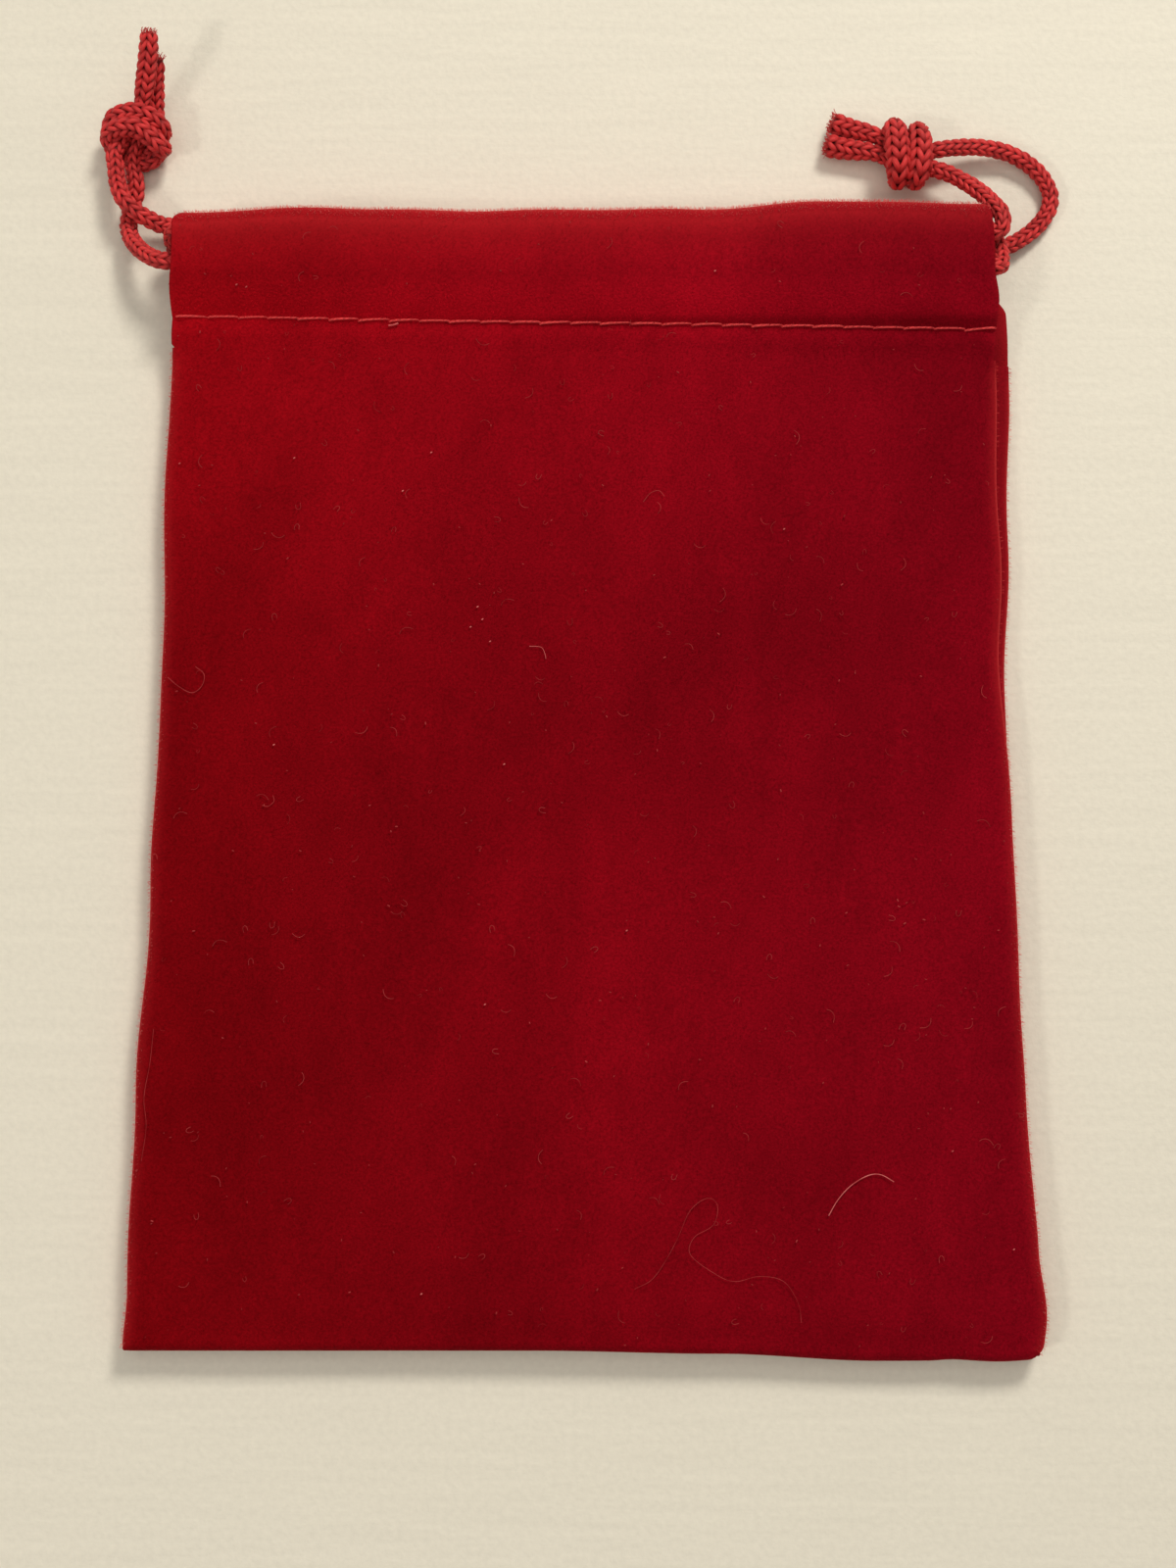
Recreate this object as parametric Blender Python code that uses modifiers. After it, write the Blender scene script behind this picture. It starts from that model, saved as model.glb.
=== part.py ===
"""A small velvet drawstring pouch lying flat, with two knotted drawcords.

The pouch is two velvet panels. Each one is a flat cut sheet that is folded: an allowance
is turned in along both sides and the bottom, and the top is turned down inside and
stitched, which leaves a casing open at both ends. Two knitted cords run through the
casings from opposite sides, and the ends of each are tied together in one knot.

Metres, +Z up. The pouch lies on the plane z = 0 with its mouth towards +Y and its origin
under the middle of the two panels.
"""

import math

import bmesh
import bpy
from mathutils import Vector

# Driving dimensions
LENGTH = 0.1185
BASE_WIDTH = 0.0918
CLOTH = 0.00065
CORD_DIAMETER = 0.00185
THREAD_DIAMETER = 0.00035
HEM_DEPTH = 0.0111
ALLOWANCE = 0.0080

# Clearances between layers that lie on each other
CORD_CLEARANCE = 0.0002
LAYER_GAP = 0.0003
MOUTH_SLIT = 0.0004
SEAM_SPACE = 0.0007
THREAD_CLEARANCE = 0.00015

# Sizes that follow from them
CORD_RADIUS = CORD_DIAMETER / 2
THREAD_RADIUS = THREAD_DIAMETER / 2
CHANNEL = CORD_DIAMETER + 2 * CORD_CLEARANCE
FOLD_RADIUS = (CLOTH + LAYER_GAP) / 2
TURNED = CLOTH + LAYER_GAP
FOLD_REACH = FOLD_RADIUS + CLOTH / 2
HALF_BASE = BASE_WIDTH / 2 - FOLD_REACH
CASING_RADIUS = (CHANNEL + CLOTH) / 2
CASING_REACH = CASING_RADIUS + CLOTH / 2
GROOVE = THREAD_DIAMETER + 2 * THREAD_CLEARANCE
GROOVE_REACH = 4 * TURNED
CASING_RISE = 1.5 * CHANNEL
HEM_TAIL = 0.14 * HEM_DEPTH
CLEAR_OF_STITCH = 0.28 * HEM_DEPTH
SNIP = 0.1 * CLEAR_OF_STITCH
CASING_INSET = CORD_DIAMETER * 1.15
BACK_PROUD = 0.0015
BOTTOM = -(LENGTH + BACK_PROUD) / 2
TOP = BOTTOM + LENGTH
MITRE_GAP = 0.0008
EDGE_THICKNESS = 4 * CLOTH + 2 * LAYER_GAP + SEAM_SPACE
PUFF = 0.00045
RIPPLE = 0.00012

# How far each outline stands in from the widest place, at heights measured from the
# bottom edge as shares of the length
LEFT_INSET = [(0.0, 0.0), (0.06, 0.0004), (0.22, 0.0009), (0.40, 0.0018), (0.57, 0.0024),
              (0.75, 0.0023), (0.88, 0.0027), (1.0, 0.0029)]
RIGHT_INSET = [(0.0, 0.0006), (0.035, 0.0002), (0.09, 0.0009), (0.22, 0.0017), (0.40, 0.0023),
               (0.57, 0.0024), (0.70, 0.0020), (0.84, 0.0015), (0.90, 0.0020), (1.0, 0.0022)]
LEFT_CASING_INSET = 0.0030
RIGHT_CASING_INSET = 0.0036
BOTTOM_RISE = [(-1.0, 0.0010), (-0.1, 0.0010), (0.3, 0.0007), (0.65, 0.0), (1.0, 0.0001)]
TOP_DROP = [(-1.0, 0.0013), (-0.65, 0.0008), (-0.1, 0.0010), (0.25, 0.0008), (0.65, 0.0), (1.0, 0.0003)]
STITCH_SLOPE = 0.0007

# Numbers of divisions
COLUMNS = 16
BODY_ROWS = 12
CASING_ROWS = 4
FOLD_STEPS = 3
CASING_FOLD_STEPS = 6
STITCHES = 27
ROUTE_STEPS = 2

VELVET_RED = (0.155, 0.004, 0.008, 1.0)
CORD_RED = (0.430, 0.018, 0.026, 1.0)
THREAD_RED = (0.560, 0.060, 0.050, 1.0)


def clear_scene():
    for item in list(bpy.data.objects):
        bpy.data.objects.remove(item, do_unlink=True)


def new_collection(name):
    collection = bpy.data.collections.new(name)
    bpy.context.scene.collection.children.link(collection)
    return collection


def new_material(name, color, roughness):
    material = bpy.data.materials.new(name)
    material.use_nodes = True
    shader = material.node_tree.nodes["Principled BSDF"]
    shader.inputs["Base Color"].default_value = color
    shader.inputs["Roughness"].default_value = roughness
    shader.inputs["Metallic"].default_value = 0.0
    return material


def smooth_step(value):
    value = min(max(value, 0.0), 1.0)
    return value * value * (3 - 2 * value)


def mix(a, b, share):
    return a + (b - a) * share


def along(table, where):
    """Value of a smooth line through a short table of (place, value) pairs."""
    if where <= table[0][0]:
        return table[0][1]
    for (place_a, value_a), (place_b, value_b) in zip(table, table[1:]):
        if where <= place_b:
            return mix(value_a, value_b, smooth_step((where - place_a) / (place_b - place_a)))
    return table[-1][1]


# Outline of the pouch, seen from above
def bottom_line(across):
    return BOTTOM + FOLD_REACH + along(BOTTOM_RISE, across)


def top_line(across):
    return TOP - along(TOP_DROP, across)


def stitch_line(across):
    return TOP - HEM_DEPTH - 0.75 * CASING_REACH + STITCH_SLOPE * (-0.2 - across)


def side_line(side, y):
    """Centre of the turned edge of a panel, on the left (-1) or the right (1)."""
    share = (y - BOTTOM) / LENGTH
    turned = along(LEFT_INSET if side < 0 else RIGHT_INSET, share)
    casing = LEFT_CASING_INSET if side < 0 else RIGHT_CASING_INSET
    cut_edge = BASE_WIDTH / 2 - casing
    above = y - stitch_line(side)
    unfolded = FOLD_REACH * smooth_step((above + CLEAR_OF_STITCH) / SNIP)
    open_end = smooth_step((above - 0.2 * HEM_DEPTH) / (0.3 * HEM_DEPTH))
    return side * mix(HALF_BASE - turned + unfolded, cut_edge, open_end)


def across_at(share, y):
    """x of a place a share of the way across, from -1 at the left to 1 at the right."""
    return mix(side_line(-1, y), side_line(1, y), (share + 1) / 2)


# Heights of the four layers, at the middle of their cloth
def groove(above):
    """Lift of the lower layer over the thread under it, by distance from the stitch row."""
    return GROOVE * (1 - smooth_step(abs(above) / GROOVE_REACH))


def casing_opening(above):
    """Distance between the middles of the two layers of a hem."""
    return TURNED + (CHANNEL - LAYER_GAP) * smooth_step(above / CASING_RISE)


def back_outer_height(above):
    return CLOTH / 2 + groove(above)


def back_inner_height(above):
    return back_outer_height(above) + casing_opening(above)


def front_inner_height(above):
    return back_inner_height(above) + CLOTH + MOUTH_SLIT


def front_hem_height(above):
    return front_inner_height(above) + casing_opening(above)


def front_body_height(across, y):
    above = y - stitch_line(across)
    pinched = front_hem_height(min(above, 0.0))
    settled = EDGE_THICKNESS - CLOTH / 2
    share = smooth_step((-above - HEM_TAIL) / CLEAR_OF_STITCH)
    up = (y - bottom_line(across)) / (stitch_line(across) - bottom_line(across))
    crown = PUFF * (1 - across ** 4) * math.sin(math.pi * min(max(up, 0.0), 1.0))
    ripple = RIPPLE * (1 - across ** 2) * math.sin(9.0 * up + 2.3 * across) * math.sin(math.pi * up)
    return mix(pinched, settled, share) + share * (crown + ripple)


def outer_height(front, across, y):
    above = y - stitch_line(across)
    if not front:
        return back_outer_height(above)
    if above >= 0:
        return front_hem_height(above)
    return front_body_height(across, y)


def inner_height(front, above):
    return front_inner_height(above) if front else back_inner_height(above)


# Places on a folded panel
def row_list():
    """Rows of the flat cut panel, from the raw edge at the bottom to that of the hem."""
    rows = [("bottom_flap", 1.0), ("bottom_flap", 0.45), ("bottom_flap", 0.1)]
    rows += [("bottom_fold", 1 - step / FOLD_STEPS) for step in range(FOLD_STEPS)]
    rows += [("body", step / BODY_ROWS) for step in range(BODY_ROWS + 1)]
    rows += [("below_stitch", CLEAR_OF_STITCH), ("below_stitch", CLEAR_OF_STITCH - SNIP)]
    rows += [("below_stitch", HEM_TAIL), ("hem", 0.0)]
    rows += [("hem", (step + 1) / CASING_ROWS) for step in range(CASING_ROWS)]
    rows += [("top_fold", (step + 1) / CASING_FOLD_STEPS) for step in range(CASING_FOLD_STEPS)]
    rows += [("hem_inside", 1 - (step + 1) / CASING_ROWS) for step in range(CASING_ROWS)]
    rows += [("hem_end", HEM_TAIL)]
    return rows


def column_list():
    """Columns of the flat cut panel, with the turned allowances at both ends."""
    left = [("flap", 1.0), ("flap", 0.1)] + [("fold", 1 - step / FOLD_STEPS) for step in range(FOLD_STEPS)]
    middle = [("sheet", 2 * step / COLUMNS - 1) for step in range(COLUMNS + 1)]
    right = [(kind, value) for kind, value in reversed(left)]
    return ([(kind, value, -1) for kind, value in left]
            + [(kind, value, 0) for kind, value in middle]
            + [(kind, value, 1) for kind, value in right])


def has_side_turning(row):
    return row[0] == "body" or row == ("below_stitch", CLEAR_OF_STITCH)


def casing_row_height(step_share, across):
    """Distance above the stitch row of a hem row: close together where the casing swells."""
    full = top_line(across) - CASING_REACH - stitch_line(across)
    if step_share < 0.5:
        return CASING_RISE * step_share * 2
    return mix(CASING_RISE, full, step_share * 2 - 1)


def sheet_place(front, row, across):
    """Place of a point of the panel between its two side edges."""
    kind, value = row
    inwards = -1 if front else 1
    proud = 0.0 if front else BACK_PROUD
    if kind == "bottom_flap":
        depth = value * ALLOWANCE
        y = bottom_line(across) + depth
        x = across_at(across, y) * (1 - (depth + MITRE_GAP) / HALF_BASE)
        return Vector((x, y, outer_height(front, across, y) + inwards * 2 * FOLD_RADIUS))
    if kind == "bottom_fold":
        angle = value * math.pi
        edge = bottom_line(across)
        x = across_at(across, edge) * (1 - value * MITRE_GAP / HALF_BASE)
        height = outer_height(front, across, edge) + inwards * FOLD_RADIUS * (1 - math.cos(angle))
        return Vector((x, edge - FOLD_RADIUS * math.sin(angle), height))
    if kind in ("body", "below_stitch"):
        top = stitch_line(across) - CLEAR_OF_STITCH * 1.8
        y = mix(bottom_line(across), top, value) if kind == "body" else stitch_line(across) - value
        return Vector((across_at(across, y), y, outer_height(front, across, y)))
    if kind == "hem":
        above = casing_row_height(value, across)
        y = stitch_line(across) + above
        return Vector((across_at(across, y), y + proud * value, outer_height(front, across, y)))
    inside = 1 - CASING_INSET / (BASE_WIDTH / 2)
    if kind == "top_fold":
        angle = value * math.pi
        y = top_line(across) - CASING_REACH
        above = y - stitch_line(across)
        middle = (inner_height(front, above) + outer_height(front, across, y)) / 2
        height = middle - inwards * CASING_RADIUS * math.cos(angle)
        x = across_at(across, y) * mix(1, inside, smooth_step(value))
        return Vector((x, y + proud + CASING_RADIUS * math.sin(angle), height))
    if kind == "hem_inside":
        above = casing_row_height(value, across)
        y = stitch_line(across) + above
        return Vector((across_at(across, y) * inside, y + proud * value, inner_height(front, above)))
    y = stitch_line(across) - value
    return Vector((across_at(across, y) * inside, y, inner_height(front, -value)))


def turned_place(front, row, column):
    """Place of a point on the allowance turned in along a side."""
    kind, value, side = column
    inwards = -1 if front else 1
    edge = sheet_place(front, row, side)
    rise = row[1] if row[0] == "body" else 1.0
    slope = 1 - rise
    if kind == "fold":
        angle = value * math.pi
        x = edge.x + side * FOLD_RADIUS * math.sin(angle)
        height = edge.z + inwards * FOLD_RADIUS * (1 - math.cos(angle))
        return Vector((x, edge.y + MITRE_GAP * value * slope, height))
    depth = value * ALLOWANCE
    y = edge.y + (depth + MITRE_GAP) * slope
    across = side * (1 - depth / HALF_BASE)
    height = outer_height(front, across, y) + inwards * 2 * FOLD_RADIUS
    return Vector((edge.x - side * depth, y, height))


def folded_panel(name, front, material, collection):
    """A flat cut sheet whose points are moved to where folding takes them."""
    rows = row_list()
    columns = column_list()
    sheet = bmesh.new()
    bmesh.ops.create_grid(sheet, x_segments=len(columns) - 1, y_segments=len(rows) - 1, size=1.0)
    sheet.verts.ensure_lookup_table()
    missing = []
    for vertex in sheet.verts:
        row = rows[vertex.index // len(columns)]
        column = columns[vertex.index % len(columns)]
        if column[0] == "sheet":
            vertex.co = sheet_place(front, row, column[1])
        elif has_side_turning(row):
            vertex.co = turned_place(front, row, column)
        else:
            missing.append(vertex)
    bmesh.ops.delete(sheet, geom=missing, context="VERTS")
    bmesh.ops.recalc_face_normals(sheet, faces=sheet.faces)
    mesh = bpy.data.meshes.new(name)
    sheet.to_mesh(mesh)
    sheet.free()
    mesh.shade_smooth()
    panel = bpy.data.objects.new(name, mesh)
    panel.data.materials.append(material)
    collection.objects.link(panel)
    thickness = panel.modifiers.new("cloth", "SOLIDIFY")
    thickness.thickness = CLOTH
    thickness.offset = 0.0
    thickness.use_even_offset = True
    return panel


def smooth_route(points, steps):
    """Points read from a smooth curve that passes through a route's own points."""
    places = [Vector(point) for point in points]
    places = [2 * places[0] - places[1]] + places + [2 * places[-1] - places[-2]]
    route = []
    for before, start, end, after in zip(places, places[1:], places[2:], places[3:]):
        for step in range(steps):
            t = step / steps
            route.append(0.5 * (2 * start + (end - before) * t
                                + (2 * before - 5 * start + 4 * end - after) * t ** 2
                                + (3 * start - before - 3 * end + after) * t ** 3))
    return route + [places[-2]]


def round_tube(name, points, radius, resolution, material, collection):
    curve = bpy.data.curves.new(name, "CURVE")
    curve.dimensions = "3D"
    curve.bevel_depth = radius
    curve.bevel_resolution = resolution
    curve.use_fill_caps = True
    spline = curve.splines.new("POLY")
    spline.points.add(len(points) - 1)
    for place, point in zip(spline.points, points):
        place.co = (*point, 1.0)
    spline.use_smooth = True
    tube = bpy.data.objects.new(name, curve)
    tube.data.materials.append(material)
    collection.objects.link(tube)
    return tube


def mesh_of_tube(tube, collection):
    """A closed mesh in place of a tube, for joining it to another solid."""
    name = tube.name
    bpy.context.view_layer.update()
    evaluated = tube.evaluated_get(bpy.context.evaluated_depsgraph_get())
    mesh = bpy.data.meshes.new_from_object(evaluated)
    welded = bmesh.new()
    welded.from_mesh(mesh)
    bmesh.ops.remove_doubles(welded, verts=welded.verts, dist=0.000001)
    bmesh.ops.recalc_face_normals(welded, faces=welded.faces)
    welded.to_mesh(mesh)
    welded.free()
    solid = bpy.data.objects.new(name + "_solid", mesh)
    solid.matrix_world = tube.matrix_world
    collection.objects.link(solid)
    bpy.data.objects.remove(tube, do_unlink=True)
    return solid


# Heights of the cords in the two casings
BACK_LEVEL = CLOTH + CHANNEL / 2
FRONT_LEVEL = front_inner_height(CASING_RISE) + CLOTH / 2 + CHANNEL / 2
LYING = CORD_RADIUS + 0.00005
MIDDLE_LEVEL = (BACK_LEVEL + FRONT_LEVEL) / 2


def beside_mouth(side, out, down, height):
    """A place measured from an end of the front casing's top edge."""
    edge = BASE_WIDTH / 2 - (LEFT_CASING_INSET if side < 0 else RIGHT_CASING_INSET)
    return (side * (edge + out), top_line(side) - down, height)


def in_casing(share, left_down, right_down, height):
    """A place inside a casing, with its distance below the top edge at either end."""
    down = mix(left_down, right_down, (share + 1) / 2)
    top = mix(top_line(-1), top_line(1), (share + 1) / 2)
    edge = BASE_WIDTH / 2 - (LEFT_CASING_INSET + RIGHT_CASING_INSET) / 2
    return (share * edge, top - down, height)


def casing_run(shares, left_down, right_down, height):
    return [in_casing(share, left_down, right_down, height) for share in shares]


STATIONS = [-0.93, -0.62, -0.31, 0.0, 0.31, 0.62, 0.93]


def left_cord_route():
    """From the knot through the back casing, round the right end and back in front."""
    out = [beside_mouth(-1, 0.0068, -0.0065, 0.0031), beside_mouth(-1, 0.0066, -0.0046, 0.0032),
           beside_mouth(-1, 0.0058, -0.0026, 0.0035), beside_mouth(-1, 0.0044, -0.0012, 0.0033),
           beside_mouth(-1, 0.0029, -0.0005, 0.0026), beside_mouth(-1, 0.0014, -0.0001, 0.0020)]
    back = casing_run(STATIONS, 0.00030, 0.00040, BACK_LEVEL)
    turn = [beside_mouth(1, -0.0004, 0.0008, BACK_LEVEL), beside_mouth(1, 0.0005, 0.0019, 0.0030),
            beside_mouth(1, 0.0009, 0.0033, MIDDLE_LEVEL), beside_mouth(1, 0.0012, 0.0050, 0.0044),
            beside_mouth(1, 0.0010, 0.0064, 0.0052), beside_mouth(1, -0.0002, 0.0068, FRONT_LEVEL)]
    front = casing_run(reversed(STATIONS), 0.0050, 0.0068, FRONT_LEVEL)
    home = [beside_mouth(-1, 0.0005, 0.0051, FRONT_LEVEL), beside_mouth(-1, 0.0021, 0.0046, 0.0052),
            beside_mouth(-1, 0.0040, 0.0030, 0.0038), beside_mouth(-1, 0.0053, 0.0008, 0.0023),
            beside_mouth(-1, 0.0056, -0.0016, 0.0011), beside_mouth(-1, 0.0051, -0.0038, LYING),
            beside_mouth(-1, 0.0050, -0.0052, 0.0013), beside_mouth(-1, 0.0051, -0.0064, 0.0017)]
    return out + back + turn + front + home


def right_cord_route():
    """From the knot through the front casing, round the left end and back behind."""
    out = [beside_mouth(1, -0.0049, -0.0049, 0.0031), beside_mouth(1, -0.0036, -0.0043, 0.0033),
           beside_mouth(1, -0.0020, -0.0031, 0.0039), beside_mouth(1, -0.0003, -0.0012, 0.0050),
           beside_mouth(1, 0.0009, 0.0007, 0.0060), beside_mouth(1, 0.0012, 0.0020, 0.0063),
           beside_mouth(1, 0.0006, 0.0030, 0.0061)]
    front = casing_run(reversed(STATIONS), 0.00180, 0.0033, FRONT_LEVEL)
    turn = [beside_mouth(-1, -0.0009, 0.0018, FRONT_LEVEL), beside_mouth(-1, 0.0002, 0.0019, 0.0051),
            beside_mouth(-1, 0.0005, 0.0023, MIDDLE_LEVEL), beside_mouth(-1, 0.0002, 0.0028, 0.0025),
            beside_mouth(-1, -0.0009, 0.0029, BACK_LEVEL)]
    back = casing_run(STATIONS, 0.0029, 0.0035, BACK_LEVEL)
    home = [beside_mouth(1, 0.0008, 0.0034, 0.0017), beside_mouth(1, 0.0024, 0.0029, 0.0014),
            beside_mouth(1, 0.0041, 0.0019, 0.0012), beside_mouth(1, 0.0057, 0.0006, LYING),
            beside_mouth(1, 0.0070, -0.0012, LYING), beside_mouth(1, 0.0073, -0.0030, LYING),
            beside_mouth(1, 0.0066, -0.0047, LYING), beside_mouth(1, 0.0051, -0.0063, 0.0011),
            beside_mouth(1, 0.0028, -0.0075, 0.0014), beside_mouth(1, -0.0002, -0.0079, 0.0020),
            beside_mouth(1, -0.0030, -0.0076, 0.0026), beside_mouth(1, -0.0049, -0.0072, 0.0030)]
    return out + front + turn + back + home


def knot_with_ends(name, centre, size, turn, ends, material, collection, guides):
    """The rounded outside of a tied knot, joined to the two short ends that leave it."""
    bpy.ops.mesh.primitive_uv_sphere_add(segments=16, ring_count=10, radius=0.5, location=centre)
    knot = bpy.context.active_object
    knot.name = name
    knot.scale = size
    knot.rotation_euler = (0.0, 0.0, turn)
    bpy.ops.object.transform_apply(location=False, rotation=True, scale=True)
    for owner in list(knot.users_collection):
        owner.objects.unlink(knot)
    collection.objects.link(knot)
    knot.data.materials.append(material)
    knot.data.shade_smooth()
    for number, end in enumerate(ends):
        tube = round_tube(f"{name}_end_{number}", smooth_route(end, 3), CORD_RADIUS, 2, material, guides)
        solid = mesh_of_tube(tube, guides)
        solid.hide_render = True
        solid.display_type = "WIRE"
        joined = knot.modifiers.new(f"end_{number}", "BOOLEAN")
        joined.operation = "UNION"
        joined.solver = "EXACT"
        joined.object = solid
    return knot


def hem_stitching(front):
    """Points of the row of stitches, each one rising from the cloth and sinking again."""
    face = front_hem_height(0.0) + CLOTH / 2 if front else back_outer_height(0.0) - CLOTH / 2
    outwards = 1 if front else -1
    low = face + outwards * (THREAD_CLEARANCE + THREAD_RADIUS)
    high = low + outwards * THREAD_CLEARANCE * 0.6
    points = []
    for number in range(2 * STITCHES + 1):
        across = mix(-0.985, 0.985, number / (2 * STITCHES))
        y = stitch_line(across)
        points.append((across_at(across, y), y, high if number % 2 else low))
    return points


def seam_stitching():
    """Points of the seam that joins the panels, down one side, along the bottom and up."""
    inside = FOLD_REACH + 0.15 * ALLOWANCE
    level = TURNED + CLOTH + SEAM_SPACE / 2
    top = stitch_line(0.0) - 2 * CLEAR_OF_STITCH
    low = BOTTOM + FOLD_REACH + inside
    rises = [mix(top, low, step / 10) for step in range(11)]
    left = [(side_line(-1, y) + inside, y, level) for y in rises]
    shares = [-0.8, -0.6, -0.4, -0.2, 0.0, 0.2, 0.4, 0.6, 0.8]
    bottom = [(across_at(share, low), bottom_line(share) + inside, level) for share in shares]
    right = [(side_line(1, y) - inside, y, level) for y in reversed(rises)]
    return left + bottom + right


def build():
    clear_scene()
    pouch = new_collection("velvet_drawstring_pouch")
    guides = new_collection("guides")
    velvet = new_material("red_velvet", VELVET_RED, 0.85)
    knitted = new_material("knitted_cord", CORD_RED, 0.6)
    sewing = new_material("sewing_thread", THREAD_RED, 0.55)

    folded_panel("front_panel", True, velvet, pouch)
    folded_panel("back_panel", False, velvet, pouch)
    round_tube("front_hem_thread", hem_stitching(True), THREAD_RADIUS, 0, sewing, pouch)
    round_tube("back_hem_thread", hem_stitching(False), THREAD_RADIUS, 0, sewing, pouch)
    round_tube("seam_thread", seam_stitching(), THREAD_RADIUS, 0, sewing, pouch)
    round_tube("left_cord", smooth_route(left_cord_route(), ROUTE_STEPS), CORD_RADIUS, 2, knitted, pouch)
    round_tube("right_cord", smooth_route(right_cord_route(), ROUTE_STEPS), CORD_RADIUS, 2, knitted, pouch)

    left_knot = Vector(beside_mouth(-1, 0.0048, -0.0100, 0.0030))
    left_ends = [[left_knot + Vector(step) for step in
                  ((0.0002, 0.0004, 0.0006), (0.0012, 0.0030, 0.0019), (0.0023, 0.0084, 0.0052))],
                 [left_knot + Vector(step) for step in
                  ((0.0014, 0.0002, -0.0006), (0.0023, 0.0034, -0.0001), (0.0030, 0.0076, 0.0026))]]
    knot_with_ends("left_knot", left_knot, (0.0080, 0.0067, 0.0058), -0.35, left_ends,
                   knitted, pouch, guides)
    right_knot = Vector(beside_mouth(1, -0.0082, -0.0070, 0.0029))
    right_ends = [[right_knot + Vector(step) for step in
                   ((0.0, 0.0018, -0.0002), (-0.0032, 0.0028, -0.0011), (-0.0075, 0.0045, -0.0018))],
                  [right_knot + Vector(step) for step in
                   ((0.0, -0.0004, -0.0002), (-0.0032, 0.0006, -0.0011), (-0.0083, 0.0020, -0.0018))]]
    knot_with_ends("right_knot", right_knot, (0.0058, 0.0080, 0.0056), 0.12, right_ends,
                   knitted, pouch, guides)


build()
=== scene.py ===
from math import copysign, cos, exp, hypot, pi, radians, sin, sqrt

import bmesh
import bpy
from mathutils import Matrix, Vector


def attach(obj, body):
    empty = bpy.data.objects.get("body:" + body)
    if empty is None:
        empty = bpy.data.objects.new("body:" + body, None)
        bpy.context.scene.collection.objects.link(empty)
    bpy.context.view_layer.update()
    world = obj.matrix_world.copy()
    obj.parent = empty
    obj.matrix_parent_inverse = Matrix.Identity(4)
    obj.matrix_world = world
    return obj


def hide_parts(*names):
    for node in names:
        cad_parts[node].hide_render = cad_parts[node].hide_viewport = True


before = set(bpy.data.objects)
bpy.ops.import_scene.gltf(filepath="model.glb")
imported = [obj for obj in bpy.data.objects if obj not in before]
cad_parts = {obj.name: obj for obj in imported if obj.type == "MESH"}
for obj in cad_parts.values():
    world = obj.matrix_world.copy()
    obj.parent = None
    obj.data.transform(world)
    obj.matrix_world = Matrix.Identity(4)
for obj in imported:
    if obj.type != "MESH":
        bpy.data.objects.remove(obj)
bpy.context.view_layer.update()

scene = bpy.context.scene
scene.view_settings.view_transform = "Standard"


# The camera is a phone held over the pouch and tipped a little, so the mouth lies a bit
# farther away than the bottom edge.
CAMERA_TILT = radians(8.0)


def put_in_scene(name, data):
    item = bpy.data.objects.new(name, data)
    scene.collection.objects.link(item)
    return item


camera_data = bpy.data.cameras.new("camera")
camera_data.lens = 54.0
camera_data.sensor_width = 36.0
camera_data.clip_start = 0.01
camera = put_in_scene("camera", camera_data)
camera.location = (0.0003, -0.0359, 0.2406)
camera.rotation_euler = (CAMERA_TILT, 0.0, 0.0)
scene.camera = camera


# The two drawcords are knitted tubes of satin yarn, four columns of V-shaped loops round.
# Each runs through both casings, turns at the far end, and its ends share one overhand knot.
MM = 0.001
CORD_DIAMETER = 1.85 * MM
BASE_WIDTH = 91.8 * MM
LENGTH = 118.5 * MM
BACK_PROUD = 1.5 * MM
BOTTOM = -(LENGTH + BACK_PROUD) / 2
TOP = BOTTOM + LENGTH
MOUTH_INSET = {-1: 3.0 * MM, 1: 3.6 * MM}
TOP_DROP = [(-1.0, 1.3), (-0.65, 0.8), (-0.1, 1.0), (0.25, 0.8), (0.65, 0.0), (1.0, 0.3)]
BACK_LEVEL = 1.775  # this and the next three: heights of a cord's middle line in millimetres
FRONT_LEVEL = 5.745
MIDDLE_LEVEL = (BACK_LEVEL + FRONT_LEVEL) / 2
LYING = CORD_DIAMETER / MM / 2 + 0.05
STATIONS = [0.31 * step for step in range(-3, 4)]
KNIT_WALES = 4
KNIT_PITCH = 0.96 * MM
KNIT_RADIUS = 0.68 * MM
YARN_RADIUS = 0.21 * MM
KNIT_TWIST = 55.0


def smooth_step(value):
    value = min(max(value, 0.0), 1.0)
    return value * value * (3 - 2 * value)


def mix(a, b, share):
    return a + (b - a) * share


def along(table, where):
    """Value in metres of a smooth line through a table of places and millimetres."""
    if where <= table[0][0]:
        return table[0][1] * MM
    for (place_a, value_a), (place_b, value_b) in zip(table, table[1:]):
        if where <= place_b:
            return mix(value_a, value_b, smooth_step((where - place_a) / (place_b - place_a))) * MM
    return table[-1][1] * MM


def top_line(across):
    return TOP - along(TOP_DROP, across)


def beside_mouth(side, *steps):
    """Places in millimetres out and down from an end of the front casing's top edge, and up."""
    edge = BASE_WIDTH / 2 - MOUTH_INSET[side]
    return [Vector((side * (edge + out * MM), top_line(side) - down * MM, height * MM))
            for out, down, height in steps]


def casing_run(shares, left_down, right_down, height):
    """Places inside a casing, in millimetres below the top edge at its left and right end, and up."""
    edge = (BASE_WIDTH - sum(MOUTH_INSET.values())) / 2
    run = []
    for share in shares:
        rightness = (share + 1) / 2
        down = mix(left_down, right_down, rightness) * MM
        run.append(Vector((share * edge, mix(top_line(-1), top_line(1), rightness) - down, height * MM)))
    return run


def in_knot(centre, *steps):
    """Places in a knot, in millimetres from its centre and up, with the girth there."""
    return [Vector((centre.x + x * MM, centre.y + y * MM, z * MM, girth)) for x, y, z, girth in steps]


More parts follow.
